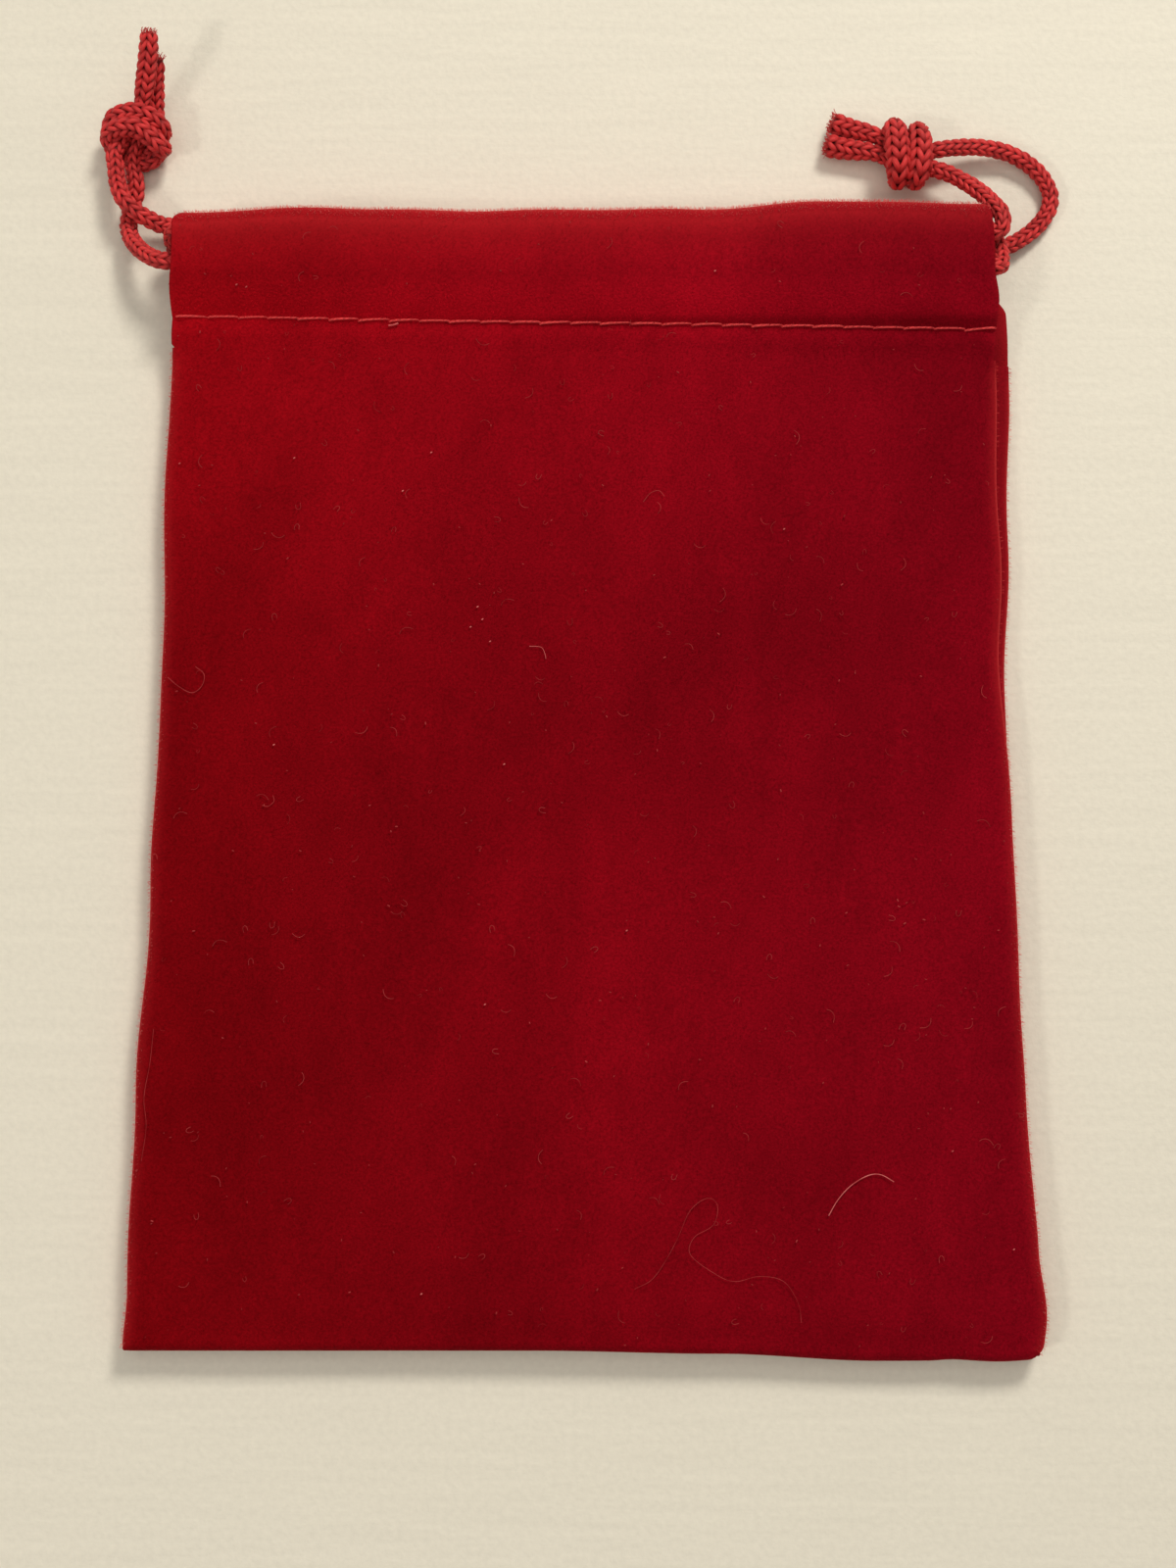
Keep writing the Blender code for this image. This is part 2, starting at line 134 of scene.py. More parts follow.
def smooth_route(points, steps):
    places = [2 * points[0] - points[1]] + points + [2 * points[-1] - points[-2]]
    route = []
    for before, start, end, after in zip(places, places[1:], places[2:], places[3:]):
        for step in range(steps):
            t = step / steps
            route.append(0.5 * (2 * start + (end - before) * t
                                + (2 * before - 5 * start + 4 * end - after) * t ** 2
                                + (3 * start - before - 3 * end + after) * t ** 3))
    return route + [places[-2]]


def node(tree, kind, values=None, **settings):
    """A node with its settings, and its inputs set or linked."""
    made = tree.nodes.new(kind)
    for key, value in settings.items():
        setattr(made, key, value)
    for key, value in (values or {}).items():
        if isinstance(value, bpy.types.NodeSocket):
            tree.links.new(value, made.inputs[key])
        else:
            made.inputs[key].default_value = value
    return made


def output(tree, kind, values=None, **settings):
    return node(tree, kind, values, **settings).outputs[0]


def calc(tree, operation, *values):
    return output(tree, "ShaderNodeMath", dict(enumerate(values)), operation=operation)


def times(tree, *values):
    return calc(tree, "MULTIPLY", *values)


def plus(tree, *values):
    return calc(tree, "ADD", *values)


def vector(tree, operation, *values):
    return output(tree, "ShaderNodeVectorMath", dict(enumerate(values)), operation=operation)


def scaled(tree, value, scale):
    return output(tree, "ShaderNodeVectorMath", {0: value, "Scale": scale}, operation="SCALE")


def combined(tree, *values):
    return output(tree, "ShaderNodeCombineXYZ", dict(enumerate(values)))


def separated(tree, value):
    return node(tree, "ShaderNodeSeparateXYZ", {0: value}).outputs


def named(tree, label):
    """A number that a mesh carries under this name, in Geometry Nodes."""
    return output(tree, "GeometryNodeInputNamedAttribute", {"Name": label}, data_type="FLOAT")


def stored(tree, geometry, label, value, domain="POINT"):
    return output(tree, "GeometryNodeStoreNamedAttribute",
                  {"Geometry": geometry, "Name": label, "Value": value}, data_type="FLOAT", domain=domain)


def random_number(tree, low, high, seed):
    return node(tree, "FunctionNodeRandomValue", {2: low, 3: high, "Seed": seed},
                data_type="FLOAT").outputs[1]


def random_vector(tree, low, high, seed):
    return output(tree, "FunctionNodeRandomValue", {0: low, 1: high, "Seed": seed},
                  data_type="FLOAT_VECTOR")


def circle(tree, resolution, radius):
    return output(tree, "GeometryNodeCurvePrimitiveCircle", {"Resolution": resolution, "Radius": radius})


def bent_line(tree, resolution, start, first_handle, second_handle, end):
    return output(tree, "GeometryNodeCurvePrimitiveBezierSegment",
                  {"Resolution": resolution, "Start": start, "Start Handle": first_handle,
                   "End Handle": second_handle, "End": end})


def marked(tree, line, label):
    """A line that carries how far along it each point lies, from 0 to 1."""
    return stored(tree, line, label, node(tree, "GeometryNodeSplineParameter").outputs["Factor"])


def turned_to(tree, direction, axis):
    return output(tree, "FunctionNodeAlignRotationToVector", {"Vector": direction}, axis=axis)


def swept(tree, line, profile, caps=False, girth=1.0):
    return output(tree, "GeometryNodeCurveToMesh",
                  {"Curve": line, "Profile Curve": profile, "Fill Caps": caps, "Scale": girth})


def moved(tree, geometry, **values):
    return output(tree, "GeometryNodeSetPosition", {"Geometry": geometry, **values})


def sown(tree, inputs, density):
    """Points scattered over the faces that come in, with their normals."""
    return node(tree, "GeometryNodeDistributePointsOnFaces",
                {"Mesh": inputs["Geometry"], "Density": density, "Seed": inputs["Seed"]}).outputs


def copies(tree, points, shape, turn=(0.0, 0.0, 0.0), size=(1.0, 1.0, 1.0), pick=False):
    return output(tree, "GeometryNodeInstanceOnPoints",
                  {"Points": points, "Instance": shape, "Rotation": turn, "Scale": size,
                   "Pick Instance": pick})


def realized(tree, geometry):
    return output(tree, "GeometryNodeRealizeInstances", {"Geometry": geometry})


def shaded_smooth(tree, geometry):
    return output(tree, "GeometryNodeSetShadeSmooth", {"Geometry": geometry})


def joined(tree, *shapes):
    join = node(tree, "GeometryNodeJoinGeometry")
    for shape in shapes:
        tree.links.new(shape, join.inputs[0])
    return join.outputs[0]


def incoming_curve(tree, inputs):
    return output(tree, "GeometryNodeMeshToCurve", {"Mesh": inputs["Geometry"]})


def geometry_group(name, **sockets):
    """An empty Geometry Nodes group with its named inputs, listed by kind."""
    group = bpy.data.node_groups.new(name, "GeometryNodeTree")
    group.interface.new_socket("Geometry", in_out="OUTPUT", socket_type="NodeSocketGeometry")
    for kind, labels in {"Geometry": "Geometry", **sockets, "Material": "Material"}.items():
        for label in labels.split(", "):
            group.interface.new_socket(label, in_out="INPUT", socket_type="NodeSocket" + kind)
    return group, group.nodes.new("NodeGroupInput").outputs


def finish_group(tree, geometry):
    material = tree.nodes["Group Input"].outputs["Material"]
    painted = {"Geometry": realized(tree, geometry), "Material": material}
    node(tree, "NodeGroupOutput", {"Geometry": output(tree, "GeometryNodeSetMaterial", painted)})
    return tree


def made_piece(name, carrier, group, values):
    """The plain mesh object that a node group makes on a carrier mesh."""
    holder = put_in_scene(name + "_holder", carrier)
    modifier = holder.modifiers.new("nodes", "NODES")
    modifier.node_group = group
    for item in group.interface.items_tree:
        if item.in_out == "INPUT" and item.name in values:
            modifier[item.identifier] = values[item.name]
    bpy.context.view_layer.update()
    mesh = bpy.data.meshes.new_from_object(holder.evaluated_get(bpy.context.evaluated_depsgraph_get()))
    mesh.name = name
    bpy.data.objects.remove(holder, do_unlink=True)
    return put_in_scene(name, mesh)


def edge_mesh(name, lines):
    """Lines of edges that carry how thick the yarn or cord is at each point."""
    mesh = bpy.data.meshes.new(name)
    places, edges, girths = [], [], []
    for line in lines:
        edges += [(len(places) + step, len(places) + step + 1) for step in range(len(line) - 1)]
        places += [point[:3] for point in line]
        girths += [point[3] for point in line]
    mesh.from_pydata(places, edges, [])
    mesh.attributes.new("girth", "FLOAT", "POINT").data.foreach_set("value", girths)
    return mesh


def new_material(name):
    material = bpy.data.materials.new(name)
    material.use_nodes = True
    return material, material.node_tree


def attribute(tree, label):
    return node(tree, "ShaderNodeAttribute", attribute_name=label).outputs["Fac"]


def object_place(tree):
    return node(tree, "ShaderNodeTexCoord").outputs["Object"]


def strands(tree, count, turns):
    """Height of the strands of a yarn or thread, which wind along it."""
    around = times(tree, attribute(tree, "yarn_around"), 2 * pi * count)
    return calc(tree, "SINE", plus(tree, around, times(tree, attribute(tree, "yarn_along"), turns)))


def noise(tree, place, scale, detail, roughness=0.5, distortion=0.0):
    return output(tree, "ShaderNodeTexNoise", {"Vector": place, "Scale": scale, "Detail": detail,
                                               "Roughness": roughness, "Distortion": distortion})


def finish_material(material, color, bump, **constants):
    """Colour and bump linked to the shader, and its constants set on its own sockets."""
    tree = material.node_tree
    shader = tree.nodes["Principled BSDF"]
    tree.links.new(color, shader.inputs["Base Color"])
    if bump:
        relief = output(tree, "ShaderNodeBump", dict(zip(("Height", "Strength", "Distance"), bump)))
        tree.links.new(relief, shader.inputs["Normal"])
    for label, value in constants.items():
        shader.inputs[label.replace("_", " ")].default_value = value
    return material


def yarn_leg(tree, side, profile):
    """One leg of a V-shaped loop: it rises out of the tube and dives in again."""
    half = side * pi * KNIT_RADIUS / KNIT_WALES
    dive, rise = -1.1 * YARN_RADIUS, 0.75 * YARN_RADIUS
    places = [(x * half, y * KNIT_PITCH, z) for x, y, z in (
        (0.10, -0.22, dive), (0.20, 0.20, rise), (0.86, 0.74, rise), (0.96, 1.22, dive))]
    return swept(tree, marked(tree, bent_line(tree, 6, *places), "yarn_along"), profile)


def knitted_tube_group():
    """Loops laid flat in rows and columns, then wrapped round the route."""
    tree, inputs = geometry_group("knitted_tube", Int="Wales, Seed",
                                  Float="Pitch, Tube Radius, Yarn Radius, Twist")
    wales, pitch, radius, seed = inputs["Wales"], inputs["Pitch"], inputs["Tube Radius"], inputs["Seed"]
    route = incoming_curve(tree, inputs)
    length = output(tree, "GeometryNodeCurveLength", {"Curve": route})
    courses = calc(tree, "FLOOR", calc(tree, "DIVIDE", length, pitch))
    profile = marked(tree, circle(tree, 6, inputs["Yarn Radius"]), "yarn_around")
    loop = joined(tree, *[yarn_leg(tree, side, profile) for side in (-1, 1)])

    index = output(tree, "GeometryNodeInputIndex")
    course = calc(tree, "FLOOR", calc(tree, "DIVIDE", index, wales))
    width = calc(tree, "DIVIDE", times(tree, radius, 2 * pi), wales)
    wale = calc(tree, "MODULO", index, wales)
    place = combined(tree, times(tree, wale, width), times(tree, course, pitch))
    uneven = Vector((0.00003, 0.00004, 0.00003))
    line = output(tree, "GeometryNodeMeshLine", {"Count": times(tree, courses, wales)})
    spread = moved(tree, line, Position=place, Offset=random_vector(tree, -uneven, uneven, seed))
    tone = random_number(tree, 0.0, 1.0, seed)
    flat = realized(tree, stored(tree, copies(tree, spread, loop), "loop_tone", tone, "INSTANCE"))

    across, lengthwise, up = separated(tree, output(tree, "GeometryNodeInputPosition"))
    sampled = node(tree, "GeometryNodeSampleCurve",
                   {"Curves": route, "Value": named(tree, "girth"), "Length": lengthwise},
                   mode="LENGTH", use_all_curves=True, data_type="FLOAT").outputs
    angle = plus(tree, calc(tree, "DIVIDE", across, radius), times(tree, lengthwise, inputs["Twist"]))
    side = vector(tree, "CROSS_PRODUCT", sampled["Tangent"], sampled["Normal"])
    reach = times(tree, plus(tree, up, radius), sampled["Value"])
    outward = vector(tree, "ADD", *[
        scaled(tree, direction, times(tree, calc(tree, share, angle), reach))
        for direction, share in ((sampled["Normal"], "COSINE"), (side, "SINE"))])
    tube = moved(tree, flat, Position=vector(tree, "ADD", sampled["Position"], outward))
    # The inner tube carries no loop marks, so the yarn colour paints it at its darkest: painted shade
    # between the loops.
    inner = swept(tree, route, circle(tree, 10, times(tree, radius, 0.97)), True)
    return finish_group(tree, shaded_smooth(tree, joined(tree, inner, tube)))


def frayed_end_group():
    """Loose filaments that stand out of the cut end of a cord."""
    tree, inputs = geometry_group("frayed_end", Float="Density, Length, Thickness, Spread", Int="Seed")
    spots = sown(tree, inputs, inputs["Density"])
    stray = random_vector(tree, (-1.0, -1.0, -1.0), (1.0, 1.0, 1.0), inputs["Seed"])
    aim = vector(tree, "ADD", scaled(tree, stray, inputs["Spread"]), spots["Normal"])
    bent = bent_line(tree, 4, (0.0, 0.0, -0.3), (0.0, 0.0, 0.3), (0.1, 0.05, 0.7), (0.28, 0.10, 0.9))
    thin = calc(tree, "DIVIDE", inputs["Thickness"], inputs["Length"])
    filament = swept(tree, bent, circle(tree, 3, thin))
    size = times(tree, inputs["Length"], random_number(tree, 0.5, 1.2, 7))
    loose = realized(tree, copies(tree, spots["Points"], filament, turned_to(tree, aim, "Z"), size))
    # The loose filaments get a near-crown mark, so they take the yarn's painted highlight.
    for label in ("yarn_along", "loop_tone"):
        loose = stored(tree, loose, label, 0.6)
    return finish_group(tree, loose)


def yarn_material():
    """Satin yarn: fine filaments along it, with a painted highlight on the crowns of the loops and painted
    shade where they dive in.
    """
    material, tree = new_material("knitted_yarn")
    fuzz = noise(tree, object_place(tree), 9000.0, 2.0)
    height = plus(tree, times(tree, strands(tree, 11, 9.0), 0.5), fuzz)
    # Painted light: each loop's crown is lit and its ends, where it dives, are shaded; loop_tone and fuzz
    # add random tone.
    crown = calc(tree, "SINE", times(tree, attribute(tree, "yarn_along"), pi))
    shade = plus(tree, times(tree, crown, 0.55),
                 plus(tree, times(tree, attribute(tree, "loop_tone"), 0.22), times(tree, fuzz, 0.35)))
    ramp = node(tree, "ShaderNodeValToRGB", {"Fac": shade})
    for element, position, color in zip(ramp.color_ramp.elements, (0.22, 0.95),
                                        ((0.100, 0.003, 0.003, 1.0), (0.76, 0.046, 0.046, 1.0))):
        element.position, element.color = position, color
    return finish_material(material, ramp.outputs[0], (height, 0.45, 0.03 * MM),
                           Roughness=0.55, Specular_IOR_Level=0.22, Sheen_Weight=0.12,
                           Sheen_Roughness=0.4, Sheen_Tint=(1.0, 0.3, 0.3, 1.0))


def left_cord_points():
    """From the tip of one end through the knot, the casings and the knot to the other tip."""
    centre = beside_mouth(-1, (4.8, -10.0, 0.0))[0]
    first = in_knot(
        centre, (2.0, 9.1, 7.6, 1.02), (1.8, 7.2, 6.6, 1.15), (1.3, 5.0, 5.0, 1.2), (0.8, 2.9, 3.6, 1.0),
        (1.3, 1.1, 2.2, 0.9), (2.5, -0.6, 1.7, 0.95), (2.9, -1.7, 2.9, 1.1), (2.0, -1.0, 3.9, 1.2),
        (0.3, 0.1, 4.4, 1.25), (-1.9, 0.1, 4.0, 1.2), (-2.9, -0.5, 2.9, 1.05), (-2.4, -1.4, 1.6, 0.95),
        (-1.0, -2.0, 1.0, 0.95), (0.9, -2.5, 1.1, 1.0), (2.2, -1.3, 1.2, 0.95), (1.9, 0.7, 1.1, 0.9),
        (0.7, 1.6, 1.5, 0.9), (-0.6, 0.6, 2.1, 0.95), (-1.6, -0.9, 2.8, 1.0), (-2.2, -2.4, 3.1, 1.0))
    out = beside_mouth(
        -1, (6.8, -6.5, 3.1), (6.6, -4.6, 3.2), (5.8, -2.6, 3.5), (4.4, -1.2, 3.3), (2.9, -0.5, 2.6),
        (1.4, -0.1, 2.0))
    back = casing_run(STATIONS, 0.3, 0.4, BACK_LEVEL)
    turn = beside_mouth(
        1, (-0.4, 0.8, BACK_LEVEL), (0.5, 1.9, 3.0), (0.9, 3.3, MIDDLE_LEVEL), (1.2, 5.0, 4.4),
        (1.0, 6.4, 5.2), (-0.2, 6.8, FRONT_LEVEL))
    front = casing_run(reversed(STATIONS), 5.0, 6.8, FRONT_LEVEL)
    home = beside_mouth(
        -1, (0.5, 5.1, FRONT_LEVEL), (2.1, 4.6, 5.2), (4.0, 3.0, 3.8), (5.3, 0.8, 2.3), (5.6, -1.6, 1.1),
        (5.1, -3.8, LYING), (5.0, -5.2, 1.3))
    last = in_knot(
        centre, (-0.45, -3.4, 1.5, 1.0), (-0.5, -2.2, 1.7, 1.0), (-0.1, -0.6, 1.9, 0.95),
        (0.6, 0.7, 1.5, 0.9), (1.6, 1.1, 1.0, 0.9), (2.2, 0.0, 1.0, 0.9), (1.0, -1.4, 1.0, 0.95),
        (-1.2, -1.0, 1.2, 0.95), (-2.7, 0.2, 1.7, 1.0), (-2.7, 1.0, 2.8, 1.1), (-1.7, 1.75, 3.6, 1.2),
        (0.3, 1.95, 3.9, 1.25), (2.1, 1.3, 3.6, 1.15), (2.9, 0.4, 2.6, 1.05), (2.5, 0.7, 1.6, 0.95),
        (2.0, 2.2, 1.7, 0.95), (2.0, 4.2, 2.7, 1.0), (2.2, 6.0, 3.9, 1.0), (2.45, 7.5, 5.0, 0.95))
    return first, out + back + turn + front + home, last


def right_cord_points():
    centre = beside_mouth(1, (-8.2, -7.0, 0.0))[0]
    first = in_knot(
        centre, (-8.2, 1.4, 1.3, 1.38), (-5.9, 0.9, 1.4, 1.25), (-3.7, 0.5, 1.7, 1.05),
        (-1.9, -0.2, 1.6, 0.95), (-0.4, -1.6, 1.0, 0.95), (-0.8, -2.6, 1.4, 1.05), (-1.0, -2.8, 2.6, 1.3),
        (-1.0, -1.7, 3.7, 1.5), (-1.15, 0.2, 4.1, 1.5), (-1.3, 2.0, 3.7, 1.4), (-1.35, 2.7, 2.7, 1.2),
        (-1.7, 2.4, 1.6, 1.0), (-1.7, 0.9, 1.3, 0.95), (-0.6, -0.7, 1.7, 0.95), (1.2, -1.4, 2.4, 0.95))
    out = beside_mouth(
        1, (-4.9, -4.9, 3.1), (-3.6, -4.3, 3.3), (-2.0, -3.1, 3.9), (-0.3, -1.2, 5.0), (0.9, 0.7, 6.0),
        (1.2, 2.0, 6.3), (0.6, 3.0, 6.1))
    front = casing_run(reversed(STATIONS), 1.8, 3.3, FRONT_LEVEL)
    turn = beside_mouth(
        -1, (-0.9, 1.8, FRONT_LEVEL), (0.2, 1.9, 5.1), (0.5, 2.3, MIDDLE_LEVEL), (0.2, 2.8, 2.5),
        (-0.9, 2.9, BACK_LEVEL))
    back = casing_run(STATIONS, 2.9, 3.5, BACK_LEVEL)
    home = beside_mouth(
        1, (0.8, 3.4, 1.7), (2.4, 2.9, 1.4), (4.1, 1.9, 1.2), (5.7, 0.6, LYING), (7.0, -1.2, LYING),
        (7.3, -3.0, LYING), (6.6, -4.7, LYING), (5.1, -6.3, 1.1), (2.8, -7.5, 1.4), (-0.2, -7.9, 2.0),
        (-3.0, -7.6, 2.6))
    last = in_knot(
        centre, (3.3, 0.2, 3.0, 1.0), (1.6, 0.1, 2.5, 0.95), (0.4, 1.3, 1.8, 0.95), (0.7, 2.1, 1.7, 1.05),
        (1.2, 2.3, 2.6, 1.3), (1.3, 1.3, 3.6, 1.45), (1.3, -0.5, 4.0, 1.5), (1.2, -2.1, 3.6, 1.45),
        (1.0, -2.9, 2.5, 1.25), (0.8, -2.5, 1.4, 1.0), (-0.4, -0.6, 1.0, 0.95), (-1.9, 1.6, 1.6, 0.95),
        (-3.7, 2.5, 1.8, 1.05), (-5.7, 3.1, 1.6, 1.25), (-7.6, 3.8, 1.4, 1.38))
    return first, out + front + turn + back + home, last


knit = knitted_tube_group()
yarn = yarn_material()
fray = frayed_end_group()
for name, (first, middle, last), mouth, girth, seed in (
        ("left_drawcord", left_cord_points(), beside_mouth(-1, (1.4, -0.1, 2.0))[0], 1.05, 3),
        ("right_drawcord", right_cord_points(), beside_mouth(1, (1.2, 2.0, 6.3))[0], 1.0, 8)):
    route = smooth_route(first + [Vector((*place, girth)) for place in middle] + last, 5)
    path = [Vector(point[:3]) for point in route]
    piece = made_piece(name, edge_mesh(name + "_route", [route]), knit,
                       {"Wales": KNIT_WALES, "Pitch": KNIT_PITCH, "Tube Radius": KNIT_RADIUS,
                        "Yarn Radius": YARN_RADIUS, "Twist": KNIT_TWIST, "Seed": seed, "Material": yarn})
    side = name.split("_")[0]
    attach(piece, "root")
    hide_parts(side + "_cord", side + "_knot")
    tufts = []
    for end, inner, girth in ((path[0], path[2], route[0][3]), (path[-1], path[-3], route[-1][3])):
        cut = bpy.data.meshes.new(name + "_cut")
        radius = girth * 0.8 * MM
        rim = [(radius * cos(step * pi / 6), radius * sin(step * pi / 6), 0) for step in range(12)]
        cut.from_pydata(rim, [], [tuple(range(12))])
        facing = (end - inner).normalized().to_track_quat("Z", "Y").to_matrix().to_4x4()
        cut.transform(Matrix.Translation(end) @ facing)
        tuft = made_piece(f"{side}_cord_fray_{len(tufts) + 1}", cut, fray,
                          {"Density": 3.0e7, "Length": 0.55 * MM, "Thickness": 0.035 * MM, "Spread": 0.75,
                           "Seed": seed + len(tufts), "Material": yarn})
        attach(tuft, "root")
        tufts.append(tuft)


# Each panel is one piece of short-pile velvet. Its sides and bottom are turned in, its top is
# turned down inside and stitched for the cords, and the two are sewn together inside.
CLOTH = 0.65 * MM
THREAD_DIAMETER = 0.35 * MM
HEM_DEPTH = 11.1 * MM
ALLOWANCE = 8.0 * MM
CORD_CLEARANCE = 0.2 * MM
LAYER_GAP = 0.3 * MM
MOUTH_SLIT = 0.4 * MM
SEAM_SPACE = 0.7 * MM
THREAD_CLEARANCE = 0.15 * MM
CHANNEL = CORD_DIAMETER + 2 * CORD_CLEARANCE
TURNED = CLOTH + LAYER_GAP
FOLD_RADIUS = TURNED / 2
FOLD_REACH = FOLD_RADIUS + CLOTH / 2
HALF_BASE = BASE_WIDTH / 2 - FOLD_REACH
CASING_RADIUS = (CHANNEL + CLOTH) / 2
CASING_REACH = CASING_RADIUS + CLOTH / 2
CASING_RISE = 2.0 * CHANNEL
CASING_INSET = CORD_DIAMETER * 1.15
GROOVE = THREAD_DIAMETER + 2 * THREAD_CLEARANCE
GROOVE_REACH = 4 * TURNED
HEM_TAIL = 0.14 * HEM_DEPTH
CLEAR_OF_STITCH = 0.28 * HEM_DEPTH
MITRE_GAP = 0.8 * MM
EDGE_THICKNESS = 4 * CLOTH + 2 * LAYER_GAP + SEAM_SPACE
PUFF = 0.45 * MM
STITCH_SLOPE = 0.7 * MM
STITCHES = 27
ROW_START = -0.985
ROW_END = 0.998
EDGE_INSET = {
    -1: [(0, 0), (0.06, 0.4), (0.22, 0.9), (0.4, 1.8), (0.57, 2.4), (0.75, 2.3), (0.88, 2.7), (1, 2.9)],
    1: [(0, 0.6), (0.035, 0.2), (0.09, 0.9), (0.22, 1.7), (0.4, 2.3), (0.57, 2.4), (0.7, 1.8),
        (0.84, 1.2), (0.9, 1.3), (1, 1.7)]}
BOTTOM_RISE = [(-1.0, 1.0), (-0.1, 1.0), (0.3, 0.7), (0.65, 0.0), (1.0, 0.1)]
SEAM_SHOWS = [(0.45, 0.0), (0.62, 1.0), (0.85, 1.7), (0.95, 1.7), (1.0, 1.4)]
CORNER_RADIUS = {-1: 1.6 * MM, 1: 0.9 * MM}
BOTTOM_CORNER_RADIUS = {-1: 0.3 * MM, 1: 1.3 * MM}
COLUMNS = 132
BODY_ROWS = 150
CLOSE_STEPS = [step / 3 for step in range(9)]
FOLD_STEPS = 6
CASING_ROWS = 22
CASING_FOLD_STEPS = 12
EDGE_NAP = 4.0
PILE_DENSITY = 4.4e6


def wave(place, length, phase):
    return sin(place / (length * MM) + phase)


def bell(distance, width):
    return exp(-(distance / (width * MM)) ** 2)


def bottom_line(across):
    buckle = 0.13 * MM * sin(26 * (across - 0.86)) * smooth_step((across - 0.76) / 0.06)
    return BOTTOM + FOLD_REACH + along(BOTTOM_RISE, across) - buckle


def stitch_line(across):
    return TOP - HEM_DEPTH - 0.75 * CASING_REACH + STITCH_SLOPE * (-0.2 - across)


def past_snip(above):
    return above > 0.01 * MM - CLEAR_OF_STITCH


def fold_share(above):
    """How much of the side fold is left: it is flattened thin below the hem and snipped there."""
    if past_snip(above):
        return 0.0
    return 1 - 0.85 * smooth_step((above + CLEAR_OF_STITCH) / (2.5 * MM) + 1)


def side_line(side, y, front):
    """Centre of the turned edge of a panel, on the left (-1) or the right (1)."""
    share = (y - BOTTOM) / LENGTH
    above, from_top = y - stitch_line(side), top_line(side) - y
    turned, casing = along(EDGE_INSET[side], share), MOUTH_INSET[side]
    if front and side > 0:
        turned += along(SEAM_SHOWS, share)
        casing += 0.3 * MM * (1 - smooth_step(from_top / (6.0 * MM)))
    unfolded = FOLD_RADIUS * (1 - fold_share(above)) + CLOTH / 2 * past_snip(above)
    open_end = smooth_step((above / HEM_DEPTH - 0.2) / 0.3)
    radius = CORNER_RADIUS[side]
    corner = radius - sqrt(radius ** 2 - (radius - min(max(from_top, 0.0), radius)) ** 2)
    uneven = 0.07 * MM * (wave(y, 2.9, side) + wave(y, 5.3, -2 * side))
    return side * (mix(HALF_BASE - turned + unfolded, BASE_WIDTH / 2 - casing, open_end) - corner + uneven)


def across_at(share, y, front):
    return mix(side_line(-1, y, front), side_line(1, y, front), (share + 1) / 2)


def hem_top(across):
    """The top edge with the small waves that the casing leaves in it."""
    x = across * BASE_WIDTH / 2
    waves = wave(x, 2.3, 0.7) + 1.3 * wave(x, 5.1, -1.1)
    return top_line(across) - 0.07 * MM * (1 + waves) * (1 - across ** 6)


def casing_opening(above):
    return TURNED + (CHANNEL - LAYER_GAP) * sin(pi / 2 * min(max(above / CASING_RISE, 0.0), 1.0))


def back_outer_height(above):
    return CLOTH / 2 + GROOVE * (1 - smooth_step(abs(above) / GROOVE_REACH))


def inner_height(front, above):
    back = back_outer_height(above) + casing_opening(above)
    return back + CLOTH + MOUTH_SLIT if front else back


def relief(front, across, y):
    """How far the cloth stands out: stitches pull it in, cords push it out, the flat is uneven."""
    above, down = y - stitch_line(across), top_line(across) - y
    x, rightness = across * BASE_WIDTH / 2, (across + 1) / 2
    inside_edge = 1 - smooth_step((abs(across) - 0.86) / 0.14)
    hole = (across - ROW_START) / (ROW_END - ROW_START) * STITCHES
    pull = (0.10 + 0.10 * cos(2 * pi * hole)) * bell(above, 1.1)
    if not front:
        return -MM * (pull + 0.04 * (1 + wave(x, 6.1, y / (8.3 * MM)))) * inside_edge
    ripple = 0.05 * wave(x, 1.9, 1.0) * bell(abs(above) - 2.2 * MM, 1.8)
    push = 0.16 * sum(bell(down - mix(*ends, rightness) * MM, 1.3) for ends in ((1.8, 3.3), (5.0, 6.8)))
    slack = 0.11 * wave(x, 7.1, 0.6) * wave(y, 9.7, 1.9) + 0.09 * wave(x, 11.3, 0.3 - y / (6.7 * MM))
    return MM * (push - pull + (ripple + slack) * inside_edge)


def front_body_height(across, y):
    above = y - stitch_line(across)
    pinched = inner_height(True, min(above, 0.0)) + casing_opening(min(above, 0.0))
    share = smooth_step((-above - HEM_TAIL) / CLEAR_OF_STITCH)
    up = (y - bottom_line(across)) / (stitch_line(across) - bottom_line(across))
    crown = PUFF * (1 - across ** 4) * sin(pi * min(max(up, 0.0), 1.0))
    edge = min(BASE_WIDTH / 2 * (1 - abs(across)), y - bottom_line(across))
    rolled = 0.34 * MM * (1 - smooth_step(edge / (3.4 * MM)))
    return mix(pinched, EDGE_THICKNESS - CLOTH / 2, share) + share * (crown - rolled)


def outer_height(front, across, y):
    above = y - stitch_line(across)
    if not front:
        return back_outer_height(above) - relief(False, across, y)
    if above >= 0:
        return inner_height(True, above) + casing_opening(above) + relief(True, across, y)
    return front_body_height(across, y) + relief(True, across, y)


def row_list():
    """Rows of the flat cut panel, from the raw edge at the bottom to that of the hem."""
    rows = [("bottom_flap", share) for share in (1.0, 0.55, 0.1)]
    rows += [("bottom_fold", 1 - step / FOLD_STEPS) for step in range(FOLD_STEPS)]
    rows += [("body", step / BODY_ROWS) for step in CLOSE_STEPS + list(range(3, BODY_ROWS + 1))]
    rows += [("below_stitch", CLEAR_OF_STITCH * share) for share in (1.6, 1.4, 1.2, 1.0)]
    rows += [("below_stitch", CLEAR_OF_STITCH * share / 8) for share in range(7, 0, -1)]
    rows += [("hem", step / CASING_ROWS) for step in range(CASING_ROWS + 1)]
    rows += [("top_fold", (step + 1) / CASING_FOLD_STEPS) for step in range(CASING_FOLD_STEPS)]
    rows += [("hem_inside", 1 - step / 6) for step in range(1, 7)]
    return rows + [("hem_end", HEM_TAIL)]


